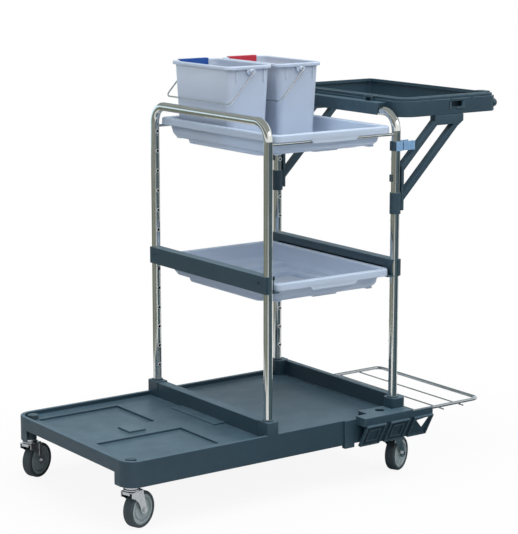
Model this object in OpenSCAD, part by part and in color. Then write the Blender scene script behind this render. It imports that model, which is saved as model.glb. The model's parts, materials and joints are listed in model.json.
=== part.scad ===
// Janitor cart. X runs along the length, Y across, +Z up, millimetres.
// Places below are measured from the middle between the two hoops, then moved to the model's origin.

/* [Platform] */
// Length of the platform
base_l = 933; // [880:1:980]
// Platform beyond the hoops' middles, to the front and to the back
base_over = 24; // [20:1:44]
// Platform beyond the right hoop's middle
end_over = 31; // [28:1:60]
// Plan radius of the platform's corners
base_corner_r = 45; // [30:1:55]
// Radius of the platform's corners at the right end
base_end_r = 25; // [20:1:40]
// Height of the rim's top above the floor
rim_z = 190; // [186:1:200]
// Width of the rim round the deck
rim_w = 12; // [8:1:16]
// Height of the deck's surface
deck_z = 178; // [170:1:182]
// Height of the lower edge of the side skirts
skirt_z = 119; // [112:1:126]
// Height of the lower edge of the left skirt between the corner legs
end_skirt_z = 153; // [140:1:160]
// Width of each corner leg along Y
leg_w = 66; // [55:1:90]
// Wall of the platform moulding
base_wall = 4; // [3:0.5:6]
// Height of the divider and of the end wall
divider_z = 222; // [206:1:240]
// Width of the divider along X
divider_w = 32; // [28:1:38]
// Width of the end wall along X
end_wall_w = 15; // [10:1:18]
// Size of a tube socket along X
socket_w = 36; // [32:1:44]
// Size of a tube socket along Y, in from the platform's side
socket_d = 50; // [44:1:60]
// Socket standing above the divider
socket_rise = 3; // [1:0.5:8]
// Depth of the deck's pressed fields
field_depth = 6; // [2:0.5:7]

/* [Hoops] */
// Distance between the hoops along X
hoop_span = 438; // [420:1:470]
// Distance between a hoop's legs along Y
hoop_d = 558; // [500:1:620]
// Height of the hoops' top
hoop_z = 1050; // [1020:1:1100]
// Outside diameter of the tube
tube_d = 25; // [22:0.5:28]
// Wall of the tube
tube_wall = 1.5; // [1:0.25:2]
// Radius of the bends at the tube's middle
bend_r = 50; // [42:1:70]
// Diameter of the holes in the legs
hole_d = 9; // [6:0.5:10]
// Distance from hole to hole
hole_pitch = 57.6; // [50:0.2:62]
// Holes in each leg
hole_count = 13; // [8:1:13]
// Height of the highest hole
hole_top = 964; // [950:1:970]

/* [Trays] */
// Trays in from the hoops' middles, along X
tray_in = 18; // [17:0.5:24]
// Trays beyond the hoops' middles, to the front and to the back
tray_over = 8; // [4:1:14]
// Height of a tray's rim
tray_rim_h = 20; // [18:1:28]
// Width of a tray's rim
tray_rim_w = 19; // [17:1:24]
// Depth of a tray's front and back ledges below its rim
ledge_drop = 35; // [30:1:40]
// Depth of the well between the ledges, below them
well_drop = 12; // [8:1:16]
// Half length of the well along Y
well_half = 184; // [160:1:210]
// Wall of a tray
tray_wall = 3; // [2:0.5:4]
// Radius of a tray's corners
tray_corner_r = 24; // [16:1:30]
// Half length of the tab in the middle of the long lips
tab_half = 83; // [60:1:110]
// Drop of that tab below the lip
tab_drop = 9; // [5:1:14]
// Height of the rods that carry the upper tray
rod_z = 978; // [972:1:982]
// Diameter of those rods
rod_d = 8; // [6:0.5:10]

/* [Shelf rails] */
// Height of the rails' lower edge
rail_z = 577; // [520:1:640]
// Height of a rail
rail_h = 48; // [40:1:56]
// Wall of a rail
rail_t = 3; // [2.5:0.5:4]
// Lower rail flange, inward from the hoop's middle
rail_in = 31; // [28:1:32]
// Rail beyond the middle of the tubes, to the front and back
rail_over = 10; // [8:0.5:16]
// Length of the moulded block round each tube
rail_block = 40; // [34:1:50]
// Height of the lips along the rail's inner edges
rail_lip = 11; // [7:0.5:13]
// Height of the screws above the rail's lower edge
screw_rise = 30; // [20:1:34]

/* [Buckets] */
// Left bucket's rim in from the tray's left edge
bucket_in_left = 17; // [14:1:24]
// Right bucket's rim in from the tray's right edge
bucket_in_right = 54; // [20:1:60]
// Buckets' rims in from the tray's back edge
bucket_in_back = 31; // [30:1:50]
// Height of a bucket
bucket_h = 216; // [190:1:250]
// Rim standing out from the bucket's wall
bucket_lip = 8; // [6:0.5:10]
// Height of the bucket's rim
bucket_rim_h = 10; // [8:1:13]
// Narrowing of each side towards the bottom
bucket_taper = 9; // [5:0.5:14]
// Wall of a bucket
bucket_wall = 2.5; // [2:0.25:3.5]
// Radius of a bucket's corners
bucket_corner_r = 24; // [16:1:32]
// Gap between the two rims
bucket_gap = 11; // [2:0.5:12]
// Front of the buckets' rims, in from the tray's front edge
bucket_in_front = 245; // [200:1:250]
// Bail pivots below the bucket's top
ear_drop = 15; // [14:1:22]
// Bail ears standing out from the wall
ear_out = 14; // [12:1:18]
// Diameter of the bail's wire
bail_d = 4.4; // [3:0.2:5]
// Reach of the bail from its pivots
bail_reach = 120; // [112:1:124]
// Slope of the bail at rest, below level
bail_slope = 47; // [46:0.5:52]
// Height of a colour marker inside the bucket
marker_h = 22; // [14:1:30]

/* [Bag frame] */
// Length of the bag frame along X
bag_l = 356; // [320:1:360]
// Bag frame beyond the hoops' middles, to the front and to the back
bag_over = 11; // [4:1:16]
// Frame's lower edge below the middle of the hoop's bar
bag_drop = 15.5; // [10:0.5:20]
// Height of the frame
bag_h = 44; // [40:1:50]
// Width of the frame's top
bag_w = 20; // [16:1:26]
// Wall of the frame
bag_wall = 4; // [3:0.5:5]
// Radius of the frame's corners beside the hoop
bag_corner_r = 50; // [40:1:60]
// Radius of the frame's outer corners
bag_end_r = 30; // [30:1:45]
// Length of the hook over the hoop's bar
hook_l = 428; // [380:1:440]
// Wall of the hook
hook_t = 3.3; // [2.5:0.1:5]
// Thickness of the clamp ring
ring_t = 7; // [5:0.5:9]
// Width of the clamp ring
ring_w = 22; // [18:1:26]
// Distance between the ring's hinges
hinge_span = 300; // [240:1:340]

/* [Braces] */
// Thickness of a brace along Y
brace_t = 24; // [18:1:25]
// Width of a strut
strut_w = 15; // [11:0.5:18]
// Distance between the struts' lower edges, up the tube
strut_step = 83; // [70:1:95]
// Height of the brace's foot
brace_z = 763; // [740:1:786]
// Height of the tube clamp below the brace
clamp_h = 60; // [40:1:62]

/* [Tool clip] */
// Height of the clip's lower edge
clip_z = 932; // [915:1:936]
// Height of the clip
clip_h = 26; // [20:1:28]
// Diameter of the handle that it holds
clip_bore = 23; // [20:0.5:24]

/* [Front holder] */
// Left end of the holder's flaps
holder_x = 73; // [60:1:76]
// Width of a flap
flap_w = 70; // [56:1:76]
// Distance from flap to flap
flap_step = 86; // [80:1:90]
// Panel's top edge out from the platform
holder_out = 42; // [30:1:50]
// Height of the panel's lower edge
holder_z = 110; // [108:1:112]
// Wall of the holder
holder_t = 4; // [3:0.5:5]

/* [Wire shelf] */
// Height of the shelf's wire
shelf_z = 154; // [148:1:160]
// Length of the shelf from its hinge
shelf_l = 328; // [280:1:340]
// Distance between the middles of the side wires
shelf_w = 470; // [420:1:480]
// Diameter of the frame wire
shelf_wire = 10; // [8:0.5:11]
// Diameter of the cross wires
cross_wire = 4; // [3.5:0.5:5]
// Cross wires
cross_count = 3; // [2:1:3]
// Distance from cross wire to cross wire
cross_step = 76; // [60:1:80]

/* [Casters] */
// Wheel diameter
wheel_d = 100; // [90:1:103]
// Width of the tyre
tyre_w = 30; // [24:1:32]
// Height of the tyre's rubber
tyre_h = 9; // [7:0.5:12]
// Wheel's axle behind the swivel axis
trail = 28; // [20:1:34]
// Turn of the front left caster at rest
caster_turn = 18.6; // [0:0.1:30]
// Round plugs in from the platform's left end
cap_in_x = 36; // [34:1:48]
// Round plugs in from the platform's sides
cap_in_y = 41; // [40:1:48]
// Left casters in from the platform's end
caster_in_left = 31; // [31:1:48]
// Right casters in from the platform's end
caster_in_right = 24; // [24:1:48]
// Casters in from the platform's sides
caster_in_y = 30; // [28:1:48]
// Diameter of the axle
axle_d = 8; // [6:0.5:10]
// Thickness of the fork's sheet
fork_t = 2.5; // [2:0.25:3]

/* [Hidden] */
$fn = 64;
corner_steps = 6;
eps = 0.01;
// Gap between fixed pieces, and between pieces that move apart
seat_gap = 0.15;
move_gap = 0.3;
// Radial clearance of pins and axles that turn
run_gap = 0.05;

slate = [0.20, 0.27, 0.31];
slate_light = [0.27, 0.34, 0.38];
chrome = [0.80, 0.80, 0.78];
zinc = [0.72, 0.73, 0.74];
pale_blue = [0.68, 0.73, 0.82];
clip_blue = [0.43, 0.57, 0.74];
hub_grey = [0.55, 0.58, 0.58];
rubber = [0.20, 0.23, 0.24];

tube_r = tube_d / 2;
hoop_x = hoop_span / 2;
hoop_y = hoop_d / 2;
bar_z = hoop_z - tube_r;
bag_z = bar_z - bag_drop;
bend_z = bar_z - bend_r;
base_x1 = hoop_x + end_over;
base_x0 = base_x1 - base_l;
base_d = hoop_d + 2 * base_over;
base_y = base_d / 2;
deck_under = deck_z - base_wall;
socket_z = divider_z + socket_rise;
socket_floor = skirt_z + 34;

bag_x0 = hoop_x + tube_r + 2;
bag_x1 = bag_x0 + bag_l;
bag_y = hoop_y + bag_over;
tray_l = hoop_span - 2 * tray_in;
tray_d = hoop_d + 2 * tray_over;
bucket_x = -tray_l / 2 + bucket_in_left;
bucket_y = -tray_d / 2 + bucket_in_front;
bucket_w = (tray_l - bucket_in_left - bucket_in_right - bucket_gap) / 2;
bucket_l = tray_d - bucket_in_front - bucket_in_back;
bag_top = bag_z + bag_h;
holder_front = base_y + holder_out;
holder_top = rim_z + 8;

// Turn of each caster at rest: front left, front right, back left, back right
turns = [caster_turn, caster_turn + 5.8, caster_turn + 3.4, caster_turn + 1.4];
tyre_edge = min(6, tyre_h - 1);
wheel_back = base_y - caster_in_y + (trail + wheel_d / 2 - tyre_edge) * sin(turns[2])
    + (tyre_w / 2 - tyre_edge) * cos(turns[2]) + tyre_edge;

// The origin lies on the floor under the middle of the whole cart
shelf_x = base_x1 + 12;
origin_x = (base_x0 + max(bag_x1, shelf_x + shelf_l + shelf_wire / 2)) / 2;
origin_y = (max(base_y, wheel_back) - holder_front) / 2;

upper_z = rod_z + rod_d / 2 + move_gap;
lower_z = rail_z + rail_t + move_gap;
bucket_z = upper_z - ledge_drop + tray_wall + move_gap;

caster_x = [base_x0 + caster_in_left, base_x1 - caster_in_right];
caster_y = [-base_y + caster_in_y, base_y - caster_in_y];
wheel_r = wheel_d / 2;
plate_z = wheel_d + 4.7;
race_z = plate_z + fork_t + move_gap;
leg_gap = tyre_w / 2 + 2.5;

// Common shapes

module from_origin() {
    translate([-origin_x, -origin_y, 0]) children();
}

module round_rect(x0, x1, y0, y1, r) {
    translate([x0 + r, y0]) square([x1 - x0 - 2 * r, y1 - y0]);
    translate([x0, y0 + r]) square([x1 - x0, y1 - y0 - 2 * r]);
    for (x = [x0 + r, x1 - r], y = [y0 + r, y1 - r]) translate([x, y]) circle(r);
}

// The same with wide corners on the left and tighter ones on the right
module end_rect(x0, x1, y, wide, tight) {
    translate([x0 + wide, -y]) square([x1 - tight - x0 - wide, 2 * y]);
    translate([x0, -y + wide]) square([x1 - tight - x0, 2 * (y - wide)]);
    translate([x0 + wide, -y + tight]) square([x1 - x0 - wide, 2 * (y - tight)]);
    for (side = [-1, 1]) {
        translate([x0 + wide, side * (y - wide)]) circle(wide);
        translate([x1 - tight, side * (y - tight)]) circle(tight);
    }
}

module slab(x0, x1, y0, y1, z0, z1) {
    translate([x0, y0, z0]) cube([x1 - x0, y1 - y0, z1 - z0]);
}

module round_slab(x0, x1, y0, y1, z0, z1, r) {
    translate([0, 0, z0]) linear_extrude(z1 - z0) round_rect(x0, x1, y0, y1, r);
}

module rod_x(x0, x1, y, z, d) {
    translate([x0, y, z]) rotate([0, 90, 0]) cylinder(d = d, h = x1 - x0);
}

module rod_y(y0, y1, x, z, d) {
    translate([x, y0, z]) rotate([-90, 0, 0]) cylinder(d = d, h = y1 - y0);
}

// A flat outline in X and Z, given a thickness along Y from y0 to y1
module side_plate(y0, y1) {
    translate([0, y1, 0]) rotate([90, 0, 0]) linear_extrude(y1 - y0) children();
}

// A rounded rectangle as a ring of points, and a skin over a stack of such rings
function ring(z, half_x, half_y, r) = [
    for (c = [0:3], i = [0:corner_steps])
        let (a = 90 * c + 90 * i / corner_steps)
        [(c == 0 || c == 3 ? 1 : -1) * (half_x - r) + r * cos(a), (c < 2 ? 1 : -1) * (half_y - r) + r * sin(a), z]
];

module loft(rings) {
    n = len(rings[0]);
    last = len(rings) - 1;
    sides = [
        for (j = [0:last - 1], i = [0:n - 1])
            let (k = (i + 1) % n)
            [j * n + i, (j + 1) * n + i, (j + 1) * n + k, j * n + k]
    ];
    floor_face = [for (i = [0:n - 1]) i];
    last_face = [for (i = [n - 1:-1:0]) last * n + i];
    polyhedron([for (r = rings) each r], concat([floor_face], sides, [last_face]), convexity = 6);
}

// Platform

// Round plugs sit in shallow recesses of the deck
cap_r = 15;
cap_sink = 3;

module platform_slab(inset, z0, z1) {
    translate([0, 0, z0]) linear_extrude(z1 - z0)
        end_rect(base_x0 + inset, base_x1 - inset, base_y - inset, base_corner_r - inset, max(base_end_r - inset, 3));
}

module platform_shell() {
    difference() {
        platform_slab(0, skirt_z, rim_z);
        platform_slab(base_wall, skirt_z - 1, deck_under);
        platform_slab(rim_w, deck_z, rim_z + 1);
        slab(base_x0 - 1, base_x0 + base_wall + 1, -base_y + leg_w, base_y - leg_w, skirt_z - 2, end_skirt_z);
    }
}

module divider_walls() {
    slab(-hoop_x - divider_w / 2, -hoop_x + divider_w / 2, -base_y + base_wall, base_y - base_wall,
        deck_under, divider_z);
    slab(base_x1 - end_wall_w, base_x1, -base_y + base_end_r, base_y - base_end_r, deck_under, divider_z);
}

// Blocks that hold the feet of the tubes, standing on the skirts
module sockets() {
    for (side = [-1, 1]) scale([1, side, 1]) {
        slab(-hoop_x - socket_w / 2, -hoop_x + socket_w / 2, -base_y, -base_y + socket_d, socket_floor, socket_z);
        round_slab(hoop_x - socket_w / 2, base_x1, -base_y, -base_y + socket_d, socket_floor, socket_z,
            min(base_end_r, end_over, socket_d) * 0.6);
    }
}

module deck_ribs() {
    rib_low = deck_under - 18;
    for (k = [1:4])
        slab(base_x0 + base_wall, base_x1 - base_wall, -base_y + k * base_d / 5 - 2, -base_y + k * base_d / 5 + 2,
            rib_low, deck_under);
    for (k = [1:7])
        slab(base_x0 + k * base_l / 8 - 2, base_x0 + k * base_l / 8 + 2, -base_y + base_wall, base_y - base_wall,
            rib_low, deck_under);
}

module caster_bosses() {
    for (x = caster_x, y = caster_y) translate([x, y, skirt_z]) cylinder(r = 19, h = deck_under - skirt_z);
}

// The block and ledge that stand on the left deck, and the fields pressed into it
deck_mid_x = (base_x0 - hoop_x) / 2;
field_gap = 43;

module deck_raised() {
    slab(deck_mid_x - 54, deck_mid_x - 1, -base_d * 0.043, base_d * 0.059, deck_z, deck_z + 5);
    slab(-hoop_x - divider_w / 2 - 36, -hoop_x - divider_w / 2, -base_d * 0.157, base_d * 0.205, deck_z, deck_z + 4);
}

// Grow is added all round the fields: their floors, one wall thick below, stand out under the deck
module deck_fields(grow, z0, z1) {
    slab(base_x0 + field_gap - grow, deck_mid_x + 71 + grow, base_d * 0.069 - grow, base_y - 58 + grow, z0, z1);
    slab(base_x0 + field_gap + 11 - grow, deck_mid_x + 93 + grow, -base_y + 58 - grow, -base_d * 0.094 + grow, z0, z1);
}

module platform() {
    color(slate) difference() {
        union() {
            platform_shell();
            divider_walls();
            sockets();
            deck_ribs();
            caster_bosses();
            deck_raised();
            deck_fields(base_wall, deck_under - field_depth, deck_under + 1);
        }
        deck_fields(0, deck_z - field_depth, deck_z + 1);
        slab(-hoop_x - divider_w / 2 + base_wall, -hoop_x + divider_w / 2 - base_wall,
            -base_y + socket_d + base_wall, base_y - socket_d - base_wall, skirt_z - 1, divider_z - base_wall);
        for (x = [-hoop_x, hoop_x], y = [-hoop_y, hoop_y])
            translate([x, y, socket_floor + base_wall]) cylinder(d = tube_d + 2 * seat_gap, h = socket_z);
        for (x = caster_x, y = caster_y)
            translate([x, y, skirt_z - 1]) cylinder(r = stem_r + seat_gap, h = stem_h + 1 + seat_gap);
        for (side = [-1, 1])
            translate([base_x0 + cap_in_x, side * (base_y - cap_in_y), deck_z - cap_sink])
                cylinder(r = cap_r + seat_gap, h = cap_sink + 1);
    }
}

module socket_collars() {
    color(rubber) for (x = [-hoop_x, hoop_x], y = [-hoop_y, hoop_y]) translate([x, y, socket_z])
        rotate_extrude() polygon([
            [tube_r + seat_gap, 0], [tube_r + 3.6, 0], [tube_r + 3.6, 2.5], [tube_r + 1.6, 4.5], [tube_r + seat_gap, 4.5]
        ]);
}

module stem_caps() {
    height = rim_z - deck_z - 1 + cap_sink - seat_gap;
    color(rubber) for (side = [-1, 1])
        translate([base_x0 + cap_in_x, side * (base_y - cap_in_y), deck_z - cap_sink + seat_gap])
            rotate_extrude() union() {
                square([cap_r, height]);
                translate([0, height]) intersection() {
                    translate([0, -38.5]) circle(41.5);
                    square([cap_r, 4]);
                }
            }
}

// Hoops

module bent_bar(d, foot) {
    for (side = [-1, 1]) {
        translate([0, side * hoop_y, foot]) cylinder(d = d, h = bend_z - foot);
        translate([0, side * (hoop_y - bend_r), bend_z]) rotate([90, 0, side * 90])
            rotate_extrude(angle = 90) translate([bend_r, 0]) circle(d = d);
    }
    rod_y(-hoop_y + bend_r, hoop_y - bend_r, 0, bar_z, d);
}

// Side is 1 where the rods enter from +X and -1 where they enter from -X, which also takes the brace bolts
module hoop(side) {
    foot = socket_floor + base_wall + seat_gap;
    color(chrome) difference() {
        bent_bar(tube_d, foot);
        bent_bar(tube_d - 2 * tube_wall, foot - 5);
        for (k = [0:hole_count - 1], leg = [-1, 1])
            translate([0, leg * (hoop_y - tube_r), hole_top - k * hole_pitch]) rotate([90, 0, 0])
                cylinder(d = hole_d, h = tube_r, center = true);
        for (leg = [-1, 1])
            translate([side * tube_r, leg * hoop_y, rod_z]) rotate([0, 90, 0])
                cylinder(d = rod_d + 2 * seat_gap, h = tube_r, center = true);
        if (side < 0) for (leg = [-1, 1])
            rod_x(-tube_d, tube_d, leg * hoop_y, bolt_z, bolt_d + 2 * seat_gap);
    }
}

module left_hoop() {
    translate([-hoop_x, 0, 0]) hoop(1);
}

module right_hoop() {
    translate([hoop_x, 0, 0]) hoop(-1);
}

module tray_rods() {
    reach = hoop_x - tube_r + tube_wall + 3;
    color(chrome) for (y = [-hoop_y, hoop_y]) rod_x(-reach, reach, y, rod_z, rod_d);
}

// Shelf rails: channels across the hoops, open towards the middle, with a block round each tube

rail_y = hoop_y + rail_over;
rail_web = tube_r + seat_gap + rail_t;
screw_z = rail_z + screw_rise;
screw_y = [-hoop_y + rail_block * 0.6, hoop_y - rail_block * 0.35];

module shelf_rail() {
    block_in = tube_r + seat_gap + 2.8;
    color(slate) difference() {
        union() {
            slab(-rail_web, -rail_web + rail_t, -rail_y, rail_y, rail_z, rail_z + rail_h);
            slab(-rail_web, rail_in, -rail_y, rail_y, rail_z, rail_z + rail_t);
            slab(-rail_web, block_in, -rail_y, rail_y, rail_z + rail_h - rail_t, rail_z + rail_h);
            for (z = [rail_z, rail_z + rail_h - rail_lip])
                slab(block_in - 2.5, block_in, -rail_y, rail_y, z, z + rail_lip);
            for (side = [-1, 1]) scale([1, side, 1]) {
                slab(-rail_web, block_in, rail_y - rail_block, rail_y - 4, rail_z, rail_z + rail_h);
                intersection() {
                    translate([0, hoop_y, rail_z]) cylinder(r = rail_web - 0.4, h = rail_h);
                    slab(-rail_web, -4, hoop_y, hoop_y + rail_web, rail_z, rail_z + rail_h);
                }
            }
            for (k = [-2:2]) slab(-rail_web, block_in, k * rail_y / 3 - 1.2, k * rail_y / 3 + 1.2, rail_z, rail_z + 14);
        }
        for (y = [-hoop_y, hoop_y])
            translate([0, y, rail_z - 1]) cylinder(d = tube_d + 2 * seat_gap, h = rail_h + 2);
        for (y = screw_y) rod_x(-rail_web - 1, -rail_web + rail_t + 1, y, screw_z, 4 + 2 * seat_gap);
    }
}

module left_shelf_rail() {
    translate([-hoop_x, 0, 0]) shelf_rail();
}

module right_shelf_rail() {
    translate([hoop_x, 0, 0]) mirror([1, 0, 0]) shelf_rail();
}

module rail_screws() {
    color(zinc) for (side = [-1, 1], y = screw_y) scale([-side, 1, 1])
        translate([-hoop_x - rail_web, y, screw_z]) rotate([0, -90, 0]) difference() {
            union() {
                translate([0, 0, seat_gap]) rotate_extrude() polygon([[0, 0], [5, 0], [4.6, 1.4], [3.2, 2.4], [0, 2.4]]);
                translate([0, 0, -rail_t + 0.3]) cylinder(d = 4, h = rail_t);
            }
            translate([-3, -0.5, 1.6]) cube([6, 1, 2]);
        }
}

// Trays: a stepped dish with a hollow rim turned down all round

module tray_skin(z) {
    hx = tray_l / 2;
    hy = tray_d / 2;
    top = z + tray_rim_h;
    ledge = z - ledge_drop;
    low = ledge - well_drop;
    in_x = hx - tray_rim_w;
    in_y = hy - tray_rim_w;
    r = tray_corner_r;
    t = tray_wall;
    loft([
        ring(low, in_x - 7, well_half - 4, r - 2),
        ring(ledge, in_x - 5, well_half, r),
        ring(ledge, in_x - 4, in_y - 21, r + 8),
        ring(ledge + 11, in_x - 1, in_y - 7, r + 4),
        ring(top - t, in_x + t, in_y + t, r - 2),
        ring(top - t, hx - t, hy - t, r - t),
        ring(z, hx - t, hy - t, r - t),
        ring(z, hx, hy, r),
        ring(top - 2, hx, hy, r),
        ring(top, hx - 2, hy - 2, r - 2),
        ring(top, in_x, in_y, r - 5),
        ring(ledge + 13, in_x - 4, in_y - 10, r),
        ring(ledge + t, in_x - 7, in_y - 23, r + 4),
        ring(ledge + t, in_x - 8, well_half - 3, r - 3),
        ring(low + t, in_x - 10, well_half - 7, r - 5)
    ]);
}

// A low ridge on the well's floor, as high as the ledges, so that a bucket stands level on both
module floor_ridge(z) {
    low = z - ledge_drop - well_drop;
    difference() {
        round_slab(-114, 114, -66, 66, low + 1, z - ledge_drop + tray_wall, 16);
        round_slab(-111, 111, -63, 63, low, z, 13);
    }
}

// Ribs across the hollow rim, which stand on the rods or the rail flanges
module tray_ribs(z) {
    long_y = tray_d / 2;
    short_x = tray_l / 2;
    for (side = [-1, 1], k = [-2:2]) scale([1, side, 1]) translate([k * tray_l / 6, 0, 0])
        slab(-1.2, 1.2, long_y - tray_rim_w + 2, long_y - 1, z, z + tray_rim_h - 1);
    for (side = [-1, 1], k = [-3:3]) scale([side, 1, 1]) translate([0, k * tray_d / 8, 0])
        slab(short_x - tray_rim_w + 2, short_x - 1, -1.2, 1.2, z, z + tray_rim_h - 1);
}

module tray_tabs(z) {
    for (side = [-1, 1]) scale([1, side, 1])
        side_plate(-tray_d / 2, -tray_d / 2 + tray_wall)
            polygon([[-tab_half, z + 1], [-tab_half + tab_drop, z - tab_drop], [tab_half - tab_drop, z - tab_drop],
                [tab_half, z + 1]]);
}

module tray_feet(z) {
    for (side = [-1, 1], end = [-1, 1]) scale([end, side, 1])
        round_slab(tray_l / 2 - tray_rim_w - 34, tray_l / 2 - tray_rim_w - 14,
            -tray_d / 2 + tray_rim_w + 24, -tray_d / 2 + tray_rim_w + 44, z - ledge_drop - 4, z - ledge_drop + 1, 5);
    for (side = [-1, 1]) scale([1, side, 1])
        round_slab(-42, 42, -tray_d / 2 + tray_rim_w + 24, -tray_d / 2 + tray_rim_w + 48,
            z - ledge_drop - 4, z - ledge_drop + 1, 6);
}

module tray(z) {
    color(pale_blue) difference() {
        union() {
            tray_skin(z);
            tray_ribs(z);
            tray_tabs(z);
            tray_feet(z);
            floor_ridge(z);
        }
        for (side = [-1, 1]) scale([side, 1, 1]) translate([tray_l / 2 - tray_wall - 1, 0, 0])
            rotate([90, 0, 90]) linear_extrude(tray_wall + 2) polygon([[-9, z - 1], [9, z - 1], [3, z + 5], [-3, z + 5]]);
    }
}

module upper_tray() {
    tray(upper_z);
}

module lower_tray() {
    tray(lower_z);
}

// Buckets

bucket_mid_y = bucket_y + bucket_l / 2;
bucket_mid_x = [bucket_x + bucket_w / 2, bucket_x + bucket_w * 1.5 + bucket_gap];
bucket_top = bucket_z + bucket_h;
ear_z = bucket_top - ear_drop;
wall_half_x = bucket_w / 2 - bucket_lip;
wall_half_y = bucket_l / 2 - bucket_lip;
ear_r = 6.5;
pin_bend = 6;
bail_y = wall_half_y + ear_out + pin_bend + 0.5;

module bucket_skin() {
    x = wall_half_x;
    y = wall_half_y;
    t = bucket_wall;
    r = bucket_corner_r;
    lip_z = bucket_top - bucket_rim_h;
    low_x = x - bucket_taper;
    low_y = y - bucket_taper;
    loft([
        ring(bucket_z, low_x - 3, low_y - 3, r - 5),
        ring(bucket_z + 5, low_x, low_y, r - 4),
        ring(bucket_top - t, x, y, r - 2),
        ring(bucket_top - t, bucket_w / 2 - t, bucket_l / 2 - t, r + 2),
        ring(lip_z, bucket_w / 2 - t, bucket_l / 2 - t, r + 2),
        ring(lip_z, bucket_w / 2, bucket_l / 2, r + 4),
        ring(bucket_top - 1.5, bucket_w / 2, bucket_l / 2, r + 4),
        ring(bucket_top, bucket_w / 2 - 1.5, bucket_l / 2 - 1.5, r + 3),
        ring(bucket_top, x - 1, y - 1, r - 3),
        ring(bucket_top - 3, x - t, y - t, r - 4),
        ring(bucket_z + 7, low_x - t, low_y - t, r - 6),
        ring(bucket_z + t, low_x - 6, low_y - 6, r - 8)
    ]);
}

// Bracket under the rim with a boss that takes a bail's end and stands out past the rim
module bail_ear() {
    side_plate(-wall_half_y - 7, -wall_half_y + 1.5)
        polygon([[-15, bucket_top - 3], [-15, ear_z - 3], [-10, ear_z - 10], [10, ear_z - 10], [15, ear_z - 3],
            [15, bucket_top - 3]]);
    translate([0, -wall_half_y + 1, ear_z]) rotate([90, 0, 0]) cylinder(r = ear_r, h = ear_out + 1);
}

// Short upright ribs beside the ears
module wall_ribs() {
    for (side = [-1, 1]) translate([side * (wall_half_x - 26), 0, 0])
        slab(-1.5, 1.5, -wall_half_y - 2, -wall_half_y + 3, bucket_top - 46, bucket_top - 2);
}

module bucket() {
    color(pale_blue) difference() {
        union() {
            bucket_skin();
            for (side = [-1, 1]) scale([1, side, 1]) {
                bail_ear();
                wall_ribs();
            }
        }
        for (side = [-1, 1]) scale([1, side, 1])
            rod_y(-wall_half_y - ear_out - 1, -wall_half_y - 2, 0, ear_z, bail_d + 2 * run_gap);
    }
}

module left_bucket() {
    translate([bucket_mid_x[0], bucket_mid_y, 0]) bucket();
}

module right_bucket() {
    translate([bucket_mid_x[1], bucket_mid_y, 0]) bucket();
}

// A bail lies in a plane through its pivots, reaching to -X, and is turned down to its rest
bail_bend = 16;

module bail_half() {
    rod_y(wall_half_y + 3, bail_y - pin_bend, 0, 0, bail_d);
    translate([-pin_bend, bail_y - pin_bend, 0]) rotate_extrude(angle = 90) translate([pin_bend, 0]) circle(d = bail_d);
    rod_x(-bail_reach + bail_bend, -pin_bend, bail_y, 0, bail_d);
    translate([-bail_reach + bail_bend, bail_y - bail_bend, 0]) rotate(90)
        rotate_extrude(angle = 90) translate([bail_bend, 0]) circle(d = bail_d);
    rod_y(0, bail_y - bail_bend, -bail_reach, 0, bail_d);
}

module bail(k) {
    color(chrome) translate([bucket_mid_x[k], bucket_mid_y, ear_z]) rotate([0, -bail_slope, 0]) {
        bail_half();
        mirror([0, 1, 0]) bail_half();
    }
}

module left_bail() {
    bail(0);
}

module right_bail() {
    bail(1);
}

// Colour markers: strips folded over the back rims
module marker(k) {
    half = wall_half_x - bucket_corner_r;
    y_in = wall_half_y - bucket_wall - seat_gap - 0.8;
    y_out = bucket_l / 2 + seat_gap;
    translate([bucket_mid_x[k], bucket_mid_y, 0]) {
        slab(-half, half, y_in - 2, y_out + 2, bucket_top + seat_gap, bucket_top + seat_gap + 2);
        slab(-half, half, y_in - 2, y_in, bucket_top - marker_h, bucket_top + seat_gap + 1);
        slab(-half, half, y_out, y_out + 2, bucket_top - bucket_rim_h + 3, bucket_top + seat_gap + 1);
    }
}

module blue_marker() {
    color([0.02, 0.22, 0.52]) marker(0);
}

module red_marker() {
    color([0.70, 0.12, 0.18]) marker(1);
}

// Bag frame: an upturned channel bent into a rounded rectangle, with a hook over the right hoop's bar

hook_x0 = hoop_x - tube_r - seat_gap - hook_t;
hook_top = hoop_z + 10;
hinge_x = hoop_x + 8;
hinge_r = 5.5;
ring_z = bag_top + move_gap;
hinge_z = ring_z + ring_t / 2 + 2;
hinge_pin_d = 5;
lug_y = [-hinge_span / 2, hinge_span / 2];
lug_half = 9;
lug_t = 5;
latch_x = bag_x0 + bag_l * 0.56;
latch_half = 28;

module bag_outline(inset) {
    end_rect(bag_x0 + inset, bag_x1 - inset, bag_y - inset, bag_corner_r - inset, max(bag_end_r - inset, 3));
}

module bag_channel() {
    difference() {
        translate([0, 0, bag_z]) linear_extrude(bag_h) bag_outline(0);
        translate([0, 0, bag_z - 1]) linear_extrude(bag_h + 2) bag_outline(bag_w);
        translate([0, 0, bag_z - 1]) linear_extrude(bag_h - bag_wall + 1) difference() {
            bag_outline(bag_wall);
            bag_outline(bag_w - bag_wall);
        }
    }
}

module hoop_hook() {
    difference() {
        slab(hook_x0, bag_x0 + bag_wall, -hook_l / 2, hook_l / 2, bag_z + 4, hook_top);
        rod_y(-hook_l, hook_l, hoop_x, bar_z, tube_d + 2 * seat_gap);
        slab(hook_x0 + hook_t, bag_x0 - 2 + seat_gap, -hook_l, hook_l, bag_z, bar_z);
    }
}

module ring_lugs() {
    for (y = lug_y, side = [-1, 1]) translate([0, y + side * (lug_half + move_gap + lug_t / 2), 0])
        side_plate(-lug_t / 2, lug_t / 2) union() {
            translate([hinge_x, hinge_z]) circle(hinge_r);
            translate([hinge_x - hinge_r, hook_top - 2]) square([2 * hinge_r, hinge_z - hook_top + 2]);
        }
}

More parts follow.
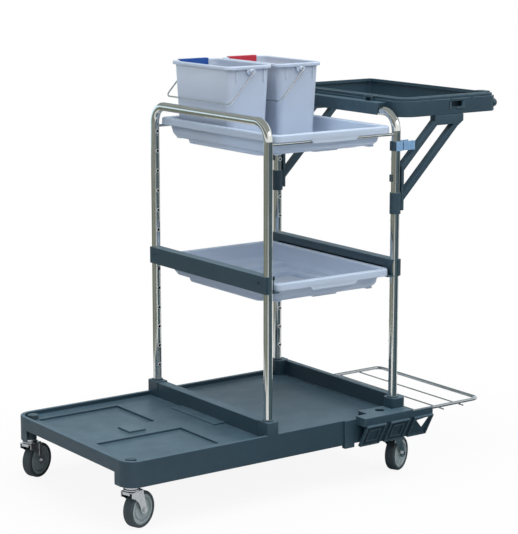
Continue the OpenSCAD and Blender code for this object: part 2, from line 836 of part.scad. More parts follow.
module bag_frame() {
    color(slate) difference() {
        union() {
            bag_channel();
            hoop_hook();
            ring_lugs();
        }
        for (y = lug_y) rod_y(y - 30, y + 30, hinge_x, hinge_z, hinge_pin_d + 2 * run_gap);
        slab(latch_x - latch_half, latch_x + latch_half, -bag_y - 1, -bag_y + bag_wall + 1, bag_z + 14, bag_top - 8);
        for (side = [-1, 1], k = [-1:1]) translate([bag_x0 + bag_l * (0.5 + 0.22 * k), side * bag_y, bag_top])
            rotate([90, 0, 0]) cylinder(d = 9, h = 3, center = true);
    }
}

// The ring lies on the frame and clamps a bag over it: gripping slots, a lifting tab and two hinge barrels
module clamp_ring() {
    gap = 6;
    slot_y = bag_y - bag_corner_r - 30;
    color(slate_light) difference() {
        union() {
            translate([0, 0, ring_z]) linear_extrude(ring_t) difference() {
                bag_outline(gap);
                bag_outline(gap + ring_w);
            }
            translate([0, 0, ring_z + ring_t - 1]) linear_extrude(3) difference() {
                bag_outline(gap + ring_w - 4);
                bag_outline(gap + ring_w);
            }
            for (y = lug_y) {
                rod_y(y - lug_half, y + lug_half, hinge_x, hinge_z, 2 * hinge_r);
                slab(hinge_x, bag_x0 + gap + 4, y - lug_half, y + lug_half, ring_z + 2, ring_z + ring_t);
            }
            round_slab(bag_x1 - gap - ring_w, bag_x1 - 2, -bag_y + bag_end_r, -bag_y + bag_end_r + 40,
                ring_z + ring_t - 1, ring_z + ring_t + 3, 6);
        }
        for (y = lug_y) rod_y(y - 30, y + 30, hinge_x, hinge_z, hinge_pin_d + 2 * run_gap);
        for (k = [0:9]) translate([bag_x1 - gap - 8, -slot_y + 60 + k * (2 * slot_y - 60) / 9, ring_z - 1])
            slab(-2, 3, -9, 9, 0, ring_t + 5);
        for (side = [-1, 1], k = [0:5]) translate([
                bag_x0 + bag_corner_r + 20 + k * (bag_l - 2 * bag_corner_r - 40) / 5, side * (bag_y - gap - 6), ring_z - 1])
            slab(-8, 8, -2, 2, 0, ring_t + 2);
    }
}

module ring_hinge_pins() {
    half = lug_half + move_gap + lug_t;
    color(zinc) for (y = lug_y) {
        rod_y(y - half, y + half, hinge_x, hinge_z, hinge_pin_d);
        for (side = [-1, 1]) translate([hinge_x, y + side * (half + 0.75 + seat_gap), hinge_z])
            rotate([90, 0, 0]) cylinder(d = hinge_pin_d + 3, h = 1.5 + 2 * seat_gap, center = true);
    }
}

// Spring latch in a window of the frame's front wall
module bag_latch() {
    z0 = bag_z + 14 + seat_gap;
    z1 = bag_top - 8 - seat_gap;
    x0 = latch_x - latch_half + seat_gap;
    x1 = latch_x + latch_half - seat_gap;
    color(slate_light) {
        difference() {
            slab(x0, x1, -bag_y + 1, -bag_y + bag_wall, z0, z1);
            slab(x0 + 6, x1 - 9, -bag_y, -bag_y + bag_wall + 1, z0 + 7, z1 + 1);
        }
        side_plate(-bag_y - 2, -bag_y + bag_wall)
            polygon([[x1 - 30, z0], [x1, z0], [x1, z1], [x1 - 5, z1], [x1 - 12, z0 + 7], [x1 - 30, z0 + 5]]);
        slab(x0, x0 + 6, -bag_y - 1.5, -bag_y + bag_wall, z0, z1);
    }
}

module corner_bumpers() {
    angle = 38;
    color(slate_light) for (side = [-1, 1]) scale([1, side, 1])
        translate([bag_x1 - bag_end_r, bag_y - bag_end_r, bag_z + bag_h * 0.52]) rotate([0, 0, angle])
            translate([bag_end_r - 1.2, 0, 0]) rotate([0, 90, 0]) difference() {
                rotate_extrude() intersection() {
                    translate([0, -2]) circle(12.5);
                    square([13, 12]);
                }
                translate([0, 0, -bag_end_r + 1.2]) rotate([0, 90, 0])
                    cylinder(r = bag_end_r + seat_gap, h = 40, center = true, $fn = 96);
            }
}

// Braces: two parallel struts from a leg on the tube up to a gusset under the frame

brace_leg_x = hoop_x + tube_r + seat_gap;
clamp_wall = 3;
bolt_d = 6;
bolt_plate = 20;
clamp_r = tube_r + seat_gap + clamp_wall;
clamp_z = brace_z - 9;
notch_z = clamp_z + clamp_h + seat_gap;
foot_rise = 20;
leg_top = brace_z + foot_rise + strut_step + strut_w * sqrt(2);
bolt_z = leg_top - 32;

// Lower edges of the struts rise at 45 degrees from the leg, and the slot lies between the two
module brace_outline() {
    foot = brace_z + foot_rise;
    thick = strut_w * sqrt(2);
    head_z = bag_z - seat_gap;
    web_z = head_z - 28;
    leg_x = brace_leg_x + 9;
    gusset_x0 = brace_leg_x + head_z - 14 - foot - strut_step - thick;
    gusset_x1 = brace_leg_x + head_z - 13 - foot;
    difference() {
        polygon([[brace_leg_x, brace_z], [leg_x, brace_z], [leg_x, foot + 9], [gusset_x1 - 21, head_z - 34], [gusset_x1, head_z - 20],
            [gusset_x1, head_z], [gusset_x0, head_z], [gusset_x0, head_z - 14], [brace_leg_x, leg_top]]);
        polygon([[leg_x, foot + thick + 9], [brace_leg_x + web_z - foot - thick, web_z],
            [brace_leg_x + web_z - foot - strut_step, web_z], [leg_x, foot + strut_step + 9]]);
    }
}

module brace(side) {
    color(slate) translate([0, side * hoop_y, 0]) difference() {
        side_plate(-brace_t / 2, brace_t / 2) brace_outline();
        translate([hoop_x, 0, brace_z - 1]) cylinder(r = clamp_r + seat_gap, h = notch_z - brace_z + 1);
        translate([hoop_x, 0, brace_z - 1]) cylinder(r = tube_r + seat_gap, h = bag_top - brace_z);
        rod_x(hoop_x, brace_leg_x + 7, 0, bolt_z, bolt_d + 2 * seat_gap);
    }
}

module front_brace() {
    brace(-1);
}

module back_brace() {
    brace(1);
}

module brace_clamps() {
    color(slate) for (y = [-hoop_y, hoop_y]) translate([hoop_x, y, clamp_z]) difference() {
        cylinder(r = clamp_r, h = clamp_h);
        translate([0, 0, -1]) cylinder(r = tube_r + seat_gap, h = clamp_h + 2);
    }
}

// Bolts across the right hoop, seen as plates on the tray side
module brace_bolts() {
    color(slate) for (y = [-hoop_y, hoop_y]) translate([0, y, bolt_z]) {
        rod_x(hoop_x - tube_r - 2.5, brace_leg_x + 6, 0, 0, bolt_d);
        difference() {
            slab(hoop_x - tube_r - 4, hoop_x - 2, -3.5, 7, -bolt_plate / 2, bolt_plate / 2);
            translate([hoop_x, 0, -bolt_plate]) cylinder(d = tube_d + 2 * seat_gap, h = 2 * bolt_plate);
        }
    }
}

// Tool clip: a collar on the front right upright and two springy jaws

collar_r = tube_r + seat_gap + 4.5;
jaw_t = 3;
jaw_x = hoop_x + collar_r + 5 + clip_bore / 2 + jaw_t;

module clip_collar() {
    color(slate) translate([hoop_x, -hoop_y, clip_z]) difference() {
        union() {
            cylinder(r = collar_r, h = clip_h);
            slab(0, collar_r + 2, -9, 9, 2, clip_h - 2);
        }
        translate([0, 0, -1]) cylinder(r = tube_r + seat_gap, h = clip_h + 2);
    }
}

// The clip's base, which wraps the outer half of the collar
module clip_saddle() {
    inner = collar_r + seat_gap;
    difference() {
        cylinder(r = inner + 2.2, h = clip_h);
        translate([0, 0, -1]) cylinder(r = inner, h = clip_h + 2);
        rotate(-35) slab(-40, 0, -40, 40, -1, clip_h + 1);
        slab(0, collar_r + 2 + seat_gap, -9 - seat_gap, 9 + seat_gap, 2 - seat_gap, clip_h - 2 + seat_gap);
    }
}

module tool_clip() {
    mouth = clip_bore * 0.36;
    color(clip_blue) translate([0, -hoop_y, clip_z]) difference() {
        union() {
            translate([jaw_x, 0, 0]) cylinder(d = clip_bore + 2 * jaw_t, h = clip_h);
            slab(hoop_x + collar_r + 2 + seat_gap, jaw_x, -12, 12, 0, clip_h);
            for (side = [-1, 1]) scale([1, side, 1]) translate([jaw_x + clip_bore * 0.32, mouth, 0]) rotate(24)
                slab(0, 14, 0, jaw_t, 0, clip_h);
            translate([hoop_x, 0, 0]) clip_saddle();
        }
        translate([jaw_x, 0, -1]) cylinder(d = clip_bore, h = clip_h + 2);
        slab(jaw_x, jaw_x + 60, -mouth, mouth, -1, clip_h + 1);
    }
}

// Front holder: a plate hooked over the rim, with three flaps that lean out from the skirt

// The section lies in Y and Z and is drawn out along X
module along_x(x0, x1) {
    translate([x0, 0, 0]) rotate([90, 0, 90]) linear_extrude(x1 - x0) children();
}

// A flap leans out from the skirt up to the outer lip
flap_top = holder_top - 22;

module flap_section(out, thick) {
    polygon([[-holder_front - out, flap_top], [-base_y - 6 - out, holder_z], [-base_y - 6 - out + thick, holder_z],
        [-holder_front - out + thick, flap_top]]);
}

module holder_flap(x0) {
    x1 = x0 + flap_w;
    along_x(x0, x1) flap_section(0, holder_t);
    difference() {
        along_x(x0 + 3, x1 - 3) flap_section(1.6, 3);
        slab(x0 + 7, x1 - 7, -holder_front - 9, -base_y, holder_z + 9, flap_top - 8);
    }
    difference() {
        along_x(x0 + 13, x1 - 13) flap_section(1.2, 3);
        slab(x0 + 17, x1 - 17, -holder_front - 9, -base_y, holder_z + 21, flap_top - 20);
        slab(x0, x1, -holder_front - 9, -base_y, holder_z - 1, holder_z + 16);
        slab(x0, x1, -holder_front - 9, -base_y, flap_top - 15, flap_top + 1);
    }
}

module front_holder() {
    last_x = holder_x + 2 * flap_step;
    x1 = last_x + flap_w;
    hook_x1 = hoop_x - socket_w / 2 - 4;
    hook_x0 = holder_x + 34;
    plate_x1 = hoop_x + 22;
    color(slate) difference() {
        union() {
            for (k = [0:2]) holder_flap(holder_x + k * flap_step);
            for (x = [holder_x, holder_x + flap_step])
                along_x(x + flap_w - 1, x + flap_step + 1) flap_section(-1.5, 2.5);
            slab(holder_x - 6, plate_x1, -holder_front, -base_y - seat_gap, holder_top - 6, holder_top);
            slab(holder_x - 6, x1, -holder_front, -holder_front + holder_t, flap_top - 1, holder_top - 4);
            slab(holder_x - 6, plate_x1, -holder_front, -holder_front + holder_t, flap_top, holder_top);
            slab(hook_x0, hook_x1, -holder_front, -base_y + 40, rim_z + seat_gap, holder_top);
            slab(hook_x0, hook_x1, -base_y + 36, -base_y + 40, deck_z + 5, holder_top - 1);
            slab(holder_x - 48, plate_x1, -base_y - 6, -base_y - seat_gap, skirt_z + 3, rim_z);
            slab(holder_x - 48, holder_x - 14, -base_y - 6, -base_y - seat_gap, holder_z, skirt_z + 4);
            slab(holder_x - 48, holder_x - 14, -base_y - 6, -base_y + base_wall + 4, holder_z, holder_z + 5);
            slab(holder_x - 48, holder_x - 14, -base_y + base_wall + seat_gap, -base_y + base_wall + 4, holder_z,
                skirt_z + 8);
            for (x = [holder_x - 6, holder_x + flap_w, holder_x + flap_step + flap_w])
                slab(x, x + 3, -holder_front + 1, -base_y - 1, holder_top - 24, holder_top - 2);
        }
        side_plate(-holder_front - 12, -base_y - 7)
            polygon([[last_x + flap_w * 0.23, flap_top - 15], [x1 - 8, flap_top - 8], [last_x + flap_w * 0.71, holder_z + 22]]);
        translate([hook_x1 - 36, -base_y + 10, rim_z - 1]) cylinder(r = 14, h = 20);
    }
}

// Wire shelf: one bent wire that pivots in two saddles, with cross wires welded below it

shelf_y = shelf_w / 2;
shelf_bend = 22;
pivot_bend = 10;
pivot_y = shelf_y + pivot_bend + 14;

module shelf_side() {
    reach = shelf_l - shelf_bend;
    rod_y(shelf_y + pivot_bend, pivot_y, 0, 0, shelf_wire);
    translate([pivot_bend, shelf_y + pivot_bend, 0]) rotate(180)
        rotate_extrude(angle = 90) translate([pivot_bend, 0]) circle(d = shelf_wire);
    rod_x(pivot_bend, reach, shelf_y, 0, shelf_wire);
    translate([reach, shelf_y - shelf_bend, 0])
        rotate_extrude(angle = 90) translate([shelf_bend, 0]) circle(d = shelf_wire);
    rod_y(0, shelf_y - shelf_bend, shelf_l, 0, shelf_wire);
}

module cross_wires() {
    drop = (shelf_wire + cross_wire) / 2 - 0.4;
    over = shelf_wire / 2 + 11;
    for (k = [1:cross_count])
        rod_y(-shelf_y - over, shelf_y + over, shelf_l - k * cross_step, -drop, cross_wire);
}

module wire_shelf() {
    color(chrome) translate([shelf_x, 0, shelf_z]) {
        shelf_side();
        mirror([0, 1, 0]) shelf_side();
        cross_wires();
    }
}

module shelf_saddles() {
    half = shelf_wire / 2 + 5;
    y0 = shelf_y + pivot_bend + 3;
    y1 = pivot_y - 1;
    color(slate) for (side = [-1, 1]) scale([1, side, 1]) difference() {
        side_plate(y0, y1) union() {
            translate([shelf_x, shelf_z]) circle(half);
            translate([base_x1 + seat_gap, shelf_z - half]) square([shelf_x - base_x1 - seat_gap, 2 * half]);
            translate([base_x1 + seat_gap, shelf_z - half - 8]) square([4, 2 * half + 16]);
        }
        rod_y(y0 - 1, y1 + 1, shelf_x, shelf_z, shelf_wire + 2 * run_gap);
    }
}

// Casters. Each is drawn with its swivel axis at X and Y zero, its wheel behind it on +X.

stem_r = 5.5;
stem_h = 30;
king_d = 10;
axle_z = wheel_r;
hub_r = wheel_r - tyre_h;

module at_caster(k) {
    translate([caster_x[k % 2], caster_y[floor(k / 2)], 0]) rotate(turns[k]) children();
}

module at_wheel(k) {
    at_caster(k) translate([trail, 0, axle_z]) rotate([90, 0, 0]) children();
}

module caster_raceways() {
    top = skirt_z - seat_gap;
    color(zinc) for (k = [0:3]) at_caster(k) {
        rotate_extrude() polygon([[0, race_z], [20, race_z], [22, race_z + 2], [22, race_z + 4.5], [19, race_z + 6],
            [19, top], [stem_r, top], [stem_r, skirt_z + stem_h - 3], [stem_r - 2, skirt_z + stem_h],
            [0, skirt_z + stem_h]]);
        translate([0, 0, plate_z - 1]) cylinder(d = king_d, h = race_z - plate_z + 2);
        translate([0, 0, plate_z - 3.2]) cylinder(d = king_d + 6, h = 3.2 - move_gap);
    }
}

// Outline of a fork leg: swept forward edge, round end at the axle
module fork_leg_outline() {
    difference() {
        union() {
            polygon([[-21, plate_z + fork_t], [25, plate_z + fork_t], [26, plate_z - 8], [trail + 10.5, axle_z + 3],
                [trail - 11, axle_z - 2], [-21, axle_z + 30]]);
            translate([trail, axle_z]) circle(11);
        }
        translate([-36, axle_z - 8]) circle(52);
        translate([trail, axle_z]) circle(d = axle_d + 2 * seat_gap);
    }
}

module fork(k) {
    color(zinc) at_caster(k) {
        for (side = [-1, 1]) scale([1, side, 1]) {
            side_plate(leg_gap, leg_gap + fork_t) fork_leg_outline();
            slab(14, 17, leg_gap + fork_t - 0.5, leg_gap + fork_t + 1.2, axle_z + 16, plate_z);
        }
        difference() {
            union() {
                round_slab(-23, 26, -leg_gap - fork_t, leg_gap + fork_t, plate_z, plate_z + fork_t, 8);
                slab(-23, -20.5, -leg_gap + 5, leg_gap - 5, plate_z - 6, plate_z + 1);
            }
            translate([0, 0, plate_z - 1]) cylinder(d = king_d + 2 * run_gap, h = fork_t + 2);
        }
    }
}

module axle(k) {
    out = leg_gap + fork_t + seat_gap;
    color(zinc) at_wheel(k) {
        cylinder(d = axle_d, h = 2 * out + 8, center = true);
        translate([0, 0, out]) cylinder(d = axle_d + 6, h = 5, $fn = 6);
        translate([0, 0, -out - 4]) cylinder(d = axle_d + 6, h = 4);
    }
}

module hub(k) {
    half = tyre_w / 2 - 1;
    bore = axle_d / 2 + run_gap;
    face = [[bore, half + 2], [10, half + 2], [11, half - 2], [hub_r - 15, half - 3], [hub_r - 13, half - 5.5],
        [hub_r - 9, half - 5.5], [hub_r - 7, half], [hub_r, half - 1.5]];
    color(hub_grey) at_wheel(k) rotate_extrude()
        polygon(concat(face, [for (i = [len(face) - 1:-1:0]) [face[i][0], -face[i][1]]]));
}

module tyre(k) {
    half = tyre_w / 2;
    edge = tyre_edge;
    color(rubber) at_wheel(k) rotate_extrude() difference() {
        union() {
            translate([hub_r + 0.1, -half]) square([tyre_h - 0.1 - edge, tyre_w]);
            translate([hub_r + 0.1, -half + edge]) square([tyre_h - 0.1, tyre_w - 2 * edge]);
            for (side = [-1, 1]) translate([wheel_r - edge, side * (half - edge)]) circle(edge);
        }
        translate([hub_r - tyre_h, -half]) square([tyre_h + 0.1, tyre_w]);
    }
}

from_origin() {
    platform();
    socket_collars();
    stem_caps();
    left_hoop();
    right_hoop();
    tray_rods();
    left_shelf_rail();
    right_shelf_rail();
    rail_screws();
    upper_tray();
    lower_tray();
    left_bucket();
    right_bucket();
    left_bail();
    right_bail();
    blue_marker();
    red_marker();
    bag_frame();
    clamp_ring();
    ring_hinge_pins();
    bag_latch();
    corner_bumpers();
    front_brace();
    back_brace();
    brace_clamps();
    brace_bolts();
    clip_collar();
    tool_clip();
    front_holder();
    wire_shelf();
    shelf_saddles();
    caster_raceways();
    fork(0);  // front_left_fork
    fork(1);  // front_right_fork
    fork(2);  // back_left_fork
    fork(3);  // back_right_fork
    axle(0);  // front_left_axle
    axle(1);  // front_right_axle
    axle(2);  // back_left_axle
    axle(3);  // back_right_axle
    hub(0);  // front_left_hub
    hub(1);  // front_right_hub
    hub(2);  // back_left_hub
    hub(3);  // back_right_hub
    tyre(0);  // front_left_tyre
    tyre(1);  // front_right_tyre
    tyre(2);  // back_left_tyre
    tyre(3);  // back_right_tyre
}
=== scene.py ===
import json
import math

import bmesh
import bpy
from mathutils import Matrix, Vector


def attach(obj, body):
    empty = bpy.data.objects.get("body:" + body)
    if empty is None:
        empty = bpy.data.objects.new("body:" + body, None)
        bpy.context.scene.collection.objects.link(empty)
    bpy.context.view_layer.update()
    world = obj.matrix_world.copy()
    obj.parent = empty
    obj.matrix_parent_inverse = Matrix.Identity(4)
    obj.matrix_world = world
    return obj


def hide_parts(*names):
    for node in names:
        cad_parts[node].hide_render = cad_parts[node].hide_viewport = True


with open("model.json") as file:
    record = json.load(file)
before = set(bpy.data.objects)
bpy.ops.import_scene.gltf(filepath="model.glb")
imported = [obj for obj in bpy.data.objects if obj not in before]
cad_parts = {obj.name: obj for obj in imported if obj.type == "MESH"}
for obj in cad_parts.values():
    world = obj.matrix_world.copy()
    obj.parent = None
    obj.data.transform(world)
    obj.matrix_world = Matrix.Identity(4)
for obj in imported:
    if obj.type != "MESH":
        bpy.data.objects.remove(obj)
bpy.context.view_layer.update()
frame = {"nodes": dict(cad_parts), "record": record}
nodes = frame["nodes"]

# The cart's own sizes are in millimetres, measured from the middle between the two hoops, on the floor

MM = 0.001
SHIFT_X, SHIFT_Y = -44.0, -15.3418


def at(x, y, z):
    """The place in the frame of a point of the cart."""
    return Vector(((x - SHIFT_X) * MM, (y - SHIFT_Y) * MM, z * MM))


# Finishes

class Wire:
    """A socket of a finish, which takes part in sums as a number would."""

    def __init__(self, finish, socket):
        self.finish, self.socket = finish, socket

    def sum(self, operation, other):
        return self.finish.node("ShaderNodeMath", {"operation": operation}, {0: self, 1: other})

    def __add__(self, other):
        return self.sum("ADD", other)

    def __sub__(self, other):
        return self.sum("SUBTRACT", other)

    def __mul__(self, other):
        return self.sum("MULTIPLY", other)

    __radd__, __rmul__ = __add__, __mul__

    def clamped(self):
        return self.finish.node("ShaderNodeClamp", {}, {0: self})

    def patches(self, gain, cut):
        """A pattern with more contrast."""
        return (self * gain - cut).clamped()


class Finish:
    """A material that is put together from nodes."""

    def __init__(self, name):
        self.material = bpy.data.materials.new(name)
        self.material.use_nodes = True
        self.tree = self.material.node_tree
        self.tree.nodes.clear()
        self.output = self.tree.nodes.new("ShaderNodeOutputMaterial")
        self.place = self.node("ShaderNodeTexCoord", {}, {}, "Object")

    def node(self, kind, settings, sockets, out=0):
        made = self.tree.nodes.new(kind)
        for key, value in settings.items():
            setattr(made, key, value)
        for key, value in sockets.items():
            if isinstance(value, Wire):
                self.tree.links.new(value.socket, made.inputs[key])
            else:
                made.inputs[key].default_value = value
        return Wire(self, made.outputs[out])

    def noise(self, scale, detail=3.0, rough=0.5, where=None):
        return self.node("ShaderNodeTexNoise", {}, {"Vector": where or self.place, "Scale": scale,
                                                    "Detail": detail, "Roughness": rough})

    def stretched(self, x, y, z):
        return self.node("ShaderNodeVectorMath", {"operation": "MULTIPLY"}, {0: self.place, 1: (x, y, z)})

    def geometry(self, out):
        return self.node("ShaderNodeNewGeometry", {}, {}, out)

    def upward(self):
        return self.node("ShaderNodeSeparateXYZ", {}, {0: self.geometry("Normal")}, "Z")

    def blend(self, amount, first, second):
        sockets = {0: amount, 6: opaque(first), 7: opaque(second)}
        return self.node("ShaderNodeMix", {"data_type": "RGBA"}, sockets, 2)

    def bumped(self, height, strength, distance):
        sockets = {"Height": height, "Strength": strength, "Distance": distance}
        return self.node("ShaderNodeBump", {}, sockets)

    def glow(self, colour):
        return self.node("ShaderNodeEmission", {}, {"Color": opaque(colour), "Strength": 1.0})

    def shown(self, shader):
        self.tree.links.new(shader.socket, self.output.inputs[0])
        return self.material

    def surface(self, sockets):
        return self.shown(self.node("ShaderNodeBsdfPrincipled", {}, sockets))


def opaque(colour):
    return colour if isinstance(colour, Wire) else (*colour, 1.0)


# Painted highlight: faces that look up are painted lighter and bluer, in patches, as if lit from above
PAINTED_TOP_LIGHT = (0.26, 0.40, 0.50)
PAINTED_TOP_FROM, PAINTED_TOP_LEAST = 0.6, 0.25
RUBBED_FROM, RUBBED_GAIN = 0.52, 7.0
GRAIN_DEPTH, LINE_DEPTH, TREAD_DEPTH, MILKY_DEPTH = 0.0004, 0.0002, 0.0005, 0.012


def moulded(name, light, dark, worn, gloss, grain, sheen=0.45, painted_tops=0.0, milky=0.0):
    """Moulded plastic: fine grain, uneven colour, rubbed edges, a painted highlight on top faces and a milky
    depth.
    """
    f = Finish(name)
    cloud = f.noise(5.0, detail=4.0, rough=0.6)
    speck = f.noise(260.0, detail=2.0, rough=0.7)
    skin = f.noise(900.0, detail=2.0, rough=0.6) * 0.7 + speck * 0.3
    colour = f.blend(cloud.patches(gain=1.6, cut=0.3), dark, light)
    rubbed = (f.geometry("Pointiness") - RUBBED_FROM) * RUBBED_GAIN * f.noise(60.0)
    colour = f.blend(rubbed.clamped(), colour, worn)
    # Painted highlight on the top faces, blended in by how far each face looks upward
    if painted_tops:
        top_highlight_mask = (f.upward() - PAINTED_TOP_FROM) * painted_tops * (f.noise(11.0, detail=5.0, rough=0.65) + PAINTED_TOP_LEAST)
        colour = f.blend(top_highlight_mask.clamped(), colour, PAINTED_TOP_LIGHT)
    return f.surface({
        "Base Color": colour, "Roughness": (gloss + 0.14 * f.noise(24.0) + 0.05 * speck).clamped(),
        "Normal": f.bumped(skin, grain, GRAIN_DEPTH), "Specular IOR Level": sheen,
        "Subsurface Weight": milky, "Subsurface Radius": (1.0, 1.0, 1.0), "Subsurface Scale": MILKY_DEPTH})


def plated(name, colour, cloudy, rough, drawn):
    """Plated or drawn metal: bright, with cloudy wiping marks and fine lines."""
    f = Finish(name)
    haze = f.noise(14.0, detail=4.0, rough=0.6)
    lines = f.noise(30.0, detail=2.0, where=f.stretched(*drawn))
    return f.surface({
        "Base Color": f.blend(haze.patches(gain=1.5, cut=0.35), cloudy, colour), "Metallic": 1.0,
        "Roughness": (rough + 0.10 * haze * haze + 0.06 * lines).clamped(),
        "Normal": f.bumped(lines, 0.05, LINE_DEPTH)})


def tread_rubber(name, light, dark):
    """Rolling rubber with scuffed, uneven colour."""
    f = Finish(name)
    scuff = f.noise(46.0, detail=5.0, rough=0.7)
    return f.surface({
        "Base Color": f.blend(scuff.patches(gain=1.9, cut=0.55), dark, light),
        "Roughness": (0.5 + 0.25 * scuff).clamped(),
        "Normal": f.bumped(f.noise(420.0), 0.18, TREAD_DEPTH)})


finishes = {
    # Slate and dark trim get the painted highlight on their top faces
    "slate_plastic": moulded(
        "slate_plastic", light=(0.024, 0.053, 0.075), dark=(0.016, 0.039, 0.057), worn=(0.09, 0.14, 0.17),
        gloss=0.33, grain=0.10, sheen=0.36, painted_tops=0.50),
    "ring_plastic": moulded(
        "ring_plastic", light=(0.027, 0.057, 0.079), dark=(0.019, 0.043, 0.061), worn=(0.10, 0.15, 0.18),
        gloss=0.33, grain=0.10, sheen=0.36),
    "dark_trim": moulded(
        "dark_trim", light=(0.019, 0.036, 0.048), dark=(0.013, 0.026, 0.036), worn=(0.08, 0.11, 0.13),
        gloss=0.33, grain=0.10, sheen=0.36, painted_tops=0.50),
    "tray_plastic": moulded(
        "tray_plastic", light=(0.43, 0.51, 0.63), dark=(0.39, 0.47, 0.59), worn=(0.54, 0.62, 0.71),
        gloss=0.28, grain=0.05, milky=0.5),
    "bucket_plastic": moulded(
        "bucket_plastic", light=(0.44, 0.51, 0.62), dark=(0.40, 0.47, 0.58), worn=(0.56, 0.62, 0.71),
        gloss=0.25, grain=0.05, milky=0.3),
    "blue_plastic": moulded(
        "blue_plastic", light=(0.006, 0.055, 0.27), dark=(0.004, 0.040, 0.21), worn=(0.03, 0.12, 0.40),
        gloss=0.24, grain=0.05),
    "red_plastic": moulded(
        "red_plastic", light=(0.46, 0.016, 0.036), dark=(0.37, 0.010, 0.026), worn=(0.60, 0.06, 0.08),
        gloss=0.24, grain=0.05),
    "clip_plastic": moulded(
        "clip_plastic", light=(0.18, 0.33, 0.52), dark=(0.15, 0.28, 0.46), worn=(0.30, 0.44, 0.60),
        gloss=0.28, grain=0.06),
    "hub_plastic": moulded(
        "hub_plastic", light=(0.31, 0.37, 0.385), dark=(0.25, 0.31, 0.325), worn=(0.46, 0.51, 0.52),
        gloss=0.34, grain=0.10, sheen=0.35),
    "chrome_tube": plated(
        "chrome_tube", colour=(0.76, 0.78, 0.76), cloudy=(0.68, 0.70, 0.67), rough=0.06, drawn=(4.0, 4.0, 0.4)),
    "chrome_wire": plated(
        "chrome_wire", colour=(0.52, 0.55, 0.57), cloudy=(0.42, 0.45, 0.47), rough=0.10, drawn=(0.5, 4.0, 4.0)),
    "bail_wire": plated(
        "bail_wire", colour=(0.75, 0.77, 0.80), cloudy=(0.62, 0.64, 0.66), rough=0.14, drawn=(4.0, 0.5, 4.0)),
    "zinc_steel": plated(
        "zinc_steel", colour=(0.60, 0.63, 0.65), cloudy=(0.47, 0.50, 0.52), rough=0.13, drawn=(3.0, 3.0, 0.6)),
    "rolled_lip": plated(
        "rolled_lip", colour=(0.92, 0.94, 0.94), cloudy=(0.84, 0.86, 0.86), rough=0.30, drawn=(4.0, 4.0, 4.0)),
    "tyre_rubber": tread_rubber("tyre_rubber", light=(0.048, 0.068, 0.078), dark=(0.017, 0.029, 0.036)),
}
slot_of = {row["node"]: row["material_slot"] for row in frame["record"]["subparts"]}
body_of = {node: body for body, held in frame["record"]["behaviour"]["bodies"].items() for node in held}

for node, cad in nodes.items():
    cad.data.materials.clear()
    cad.data.materials.append(finishes[slot_of[node]])


# Pieces

def dressed(name, bm, node, replaced=True, finish=None):
    """Makes a mesh into a piece with a node's body and, unless told otherwise, the finish of the node's slot.
    """
    mesh = bpy.data.meshes.new(name)
    bmesh.ops.recalc_face_normals(bm, faces=bm.faces)
    if bm.calc_volume(signed=True) < 0:
        bmesh.ops.reverse_faces(bm, faces=bm.faces)
    bm.to_mesh(mesh)
    bm.free()
    piece = bpy.data.objects.new(name, mesh)
    bpy.context.scene.collection.objects.link(piece)
    mesh.materials.append(finishes[finish or slot_of[node]])
    mesh.polygons.foreach_set("use_smooth", [True] * len(mesh.polygons))
    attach(piece, body_of[node])
    if replaced:
        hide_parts(node)
    return piece


ROUNDED_TURN, ROUNDED_STEPS = math.radians(38), 2


def rounded(piece, width):
    """Rounds the sharp edges of a piece, as a mould leaves them, and keeps its flat faces flat beside them."""
    edge = piece.modifiers.new("edges", "BEVEL")
    edge.limit_method = "ANGLE"
    edge.angle_limit = ROUNDED_TURN
    edge.width = width * MM
    edge.segments = ROUNDED_STEPS
    edge.use_clamp_overlap = False
    edge.harden_normals = True
    edge.miter_outer = "MITER_ARC"
    piece.modifiers.new("shading", "WEIGHTED_NORMAL").keep_sharp = True


# Mouldings: the solids' own shapes with a narrow round along each sharp edge

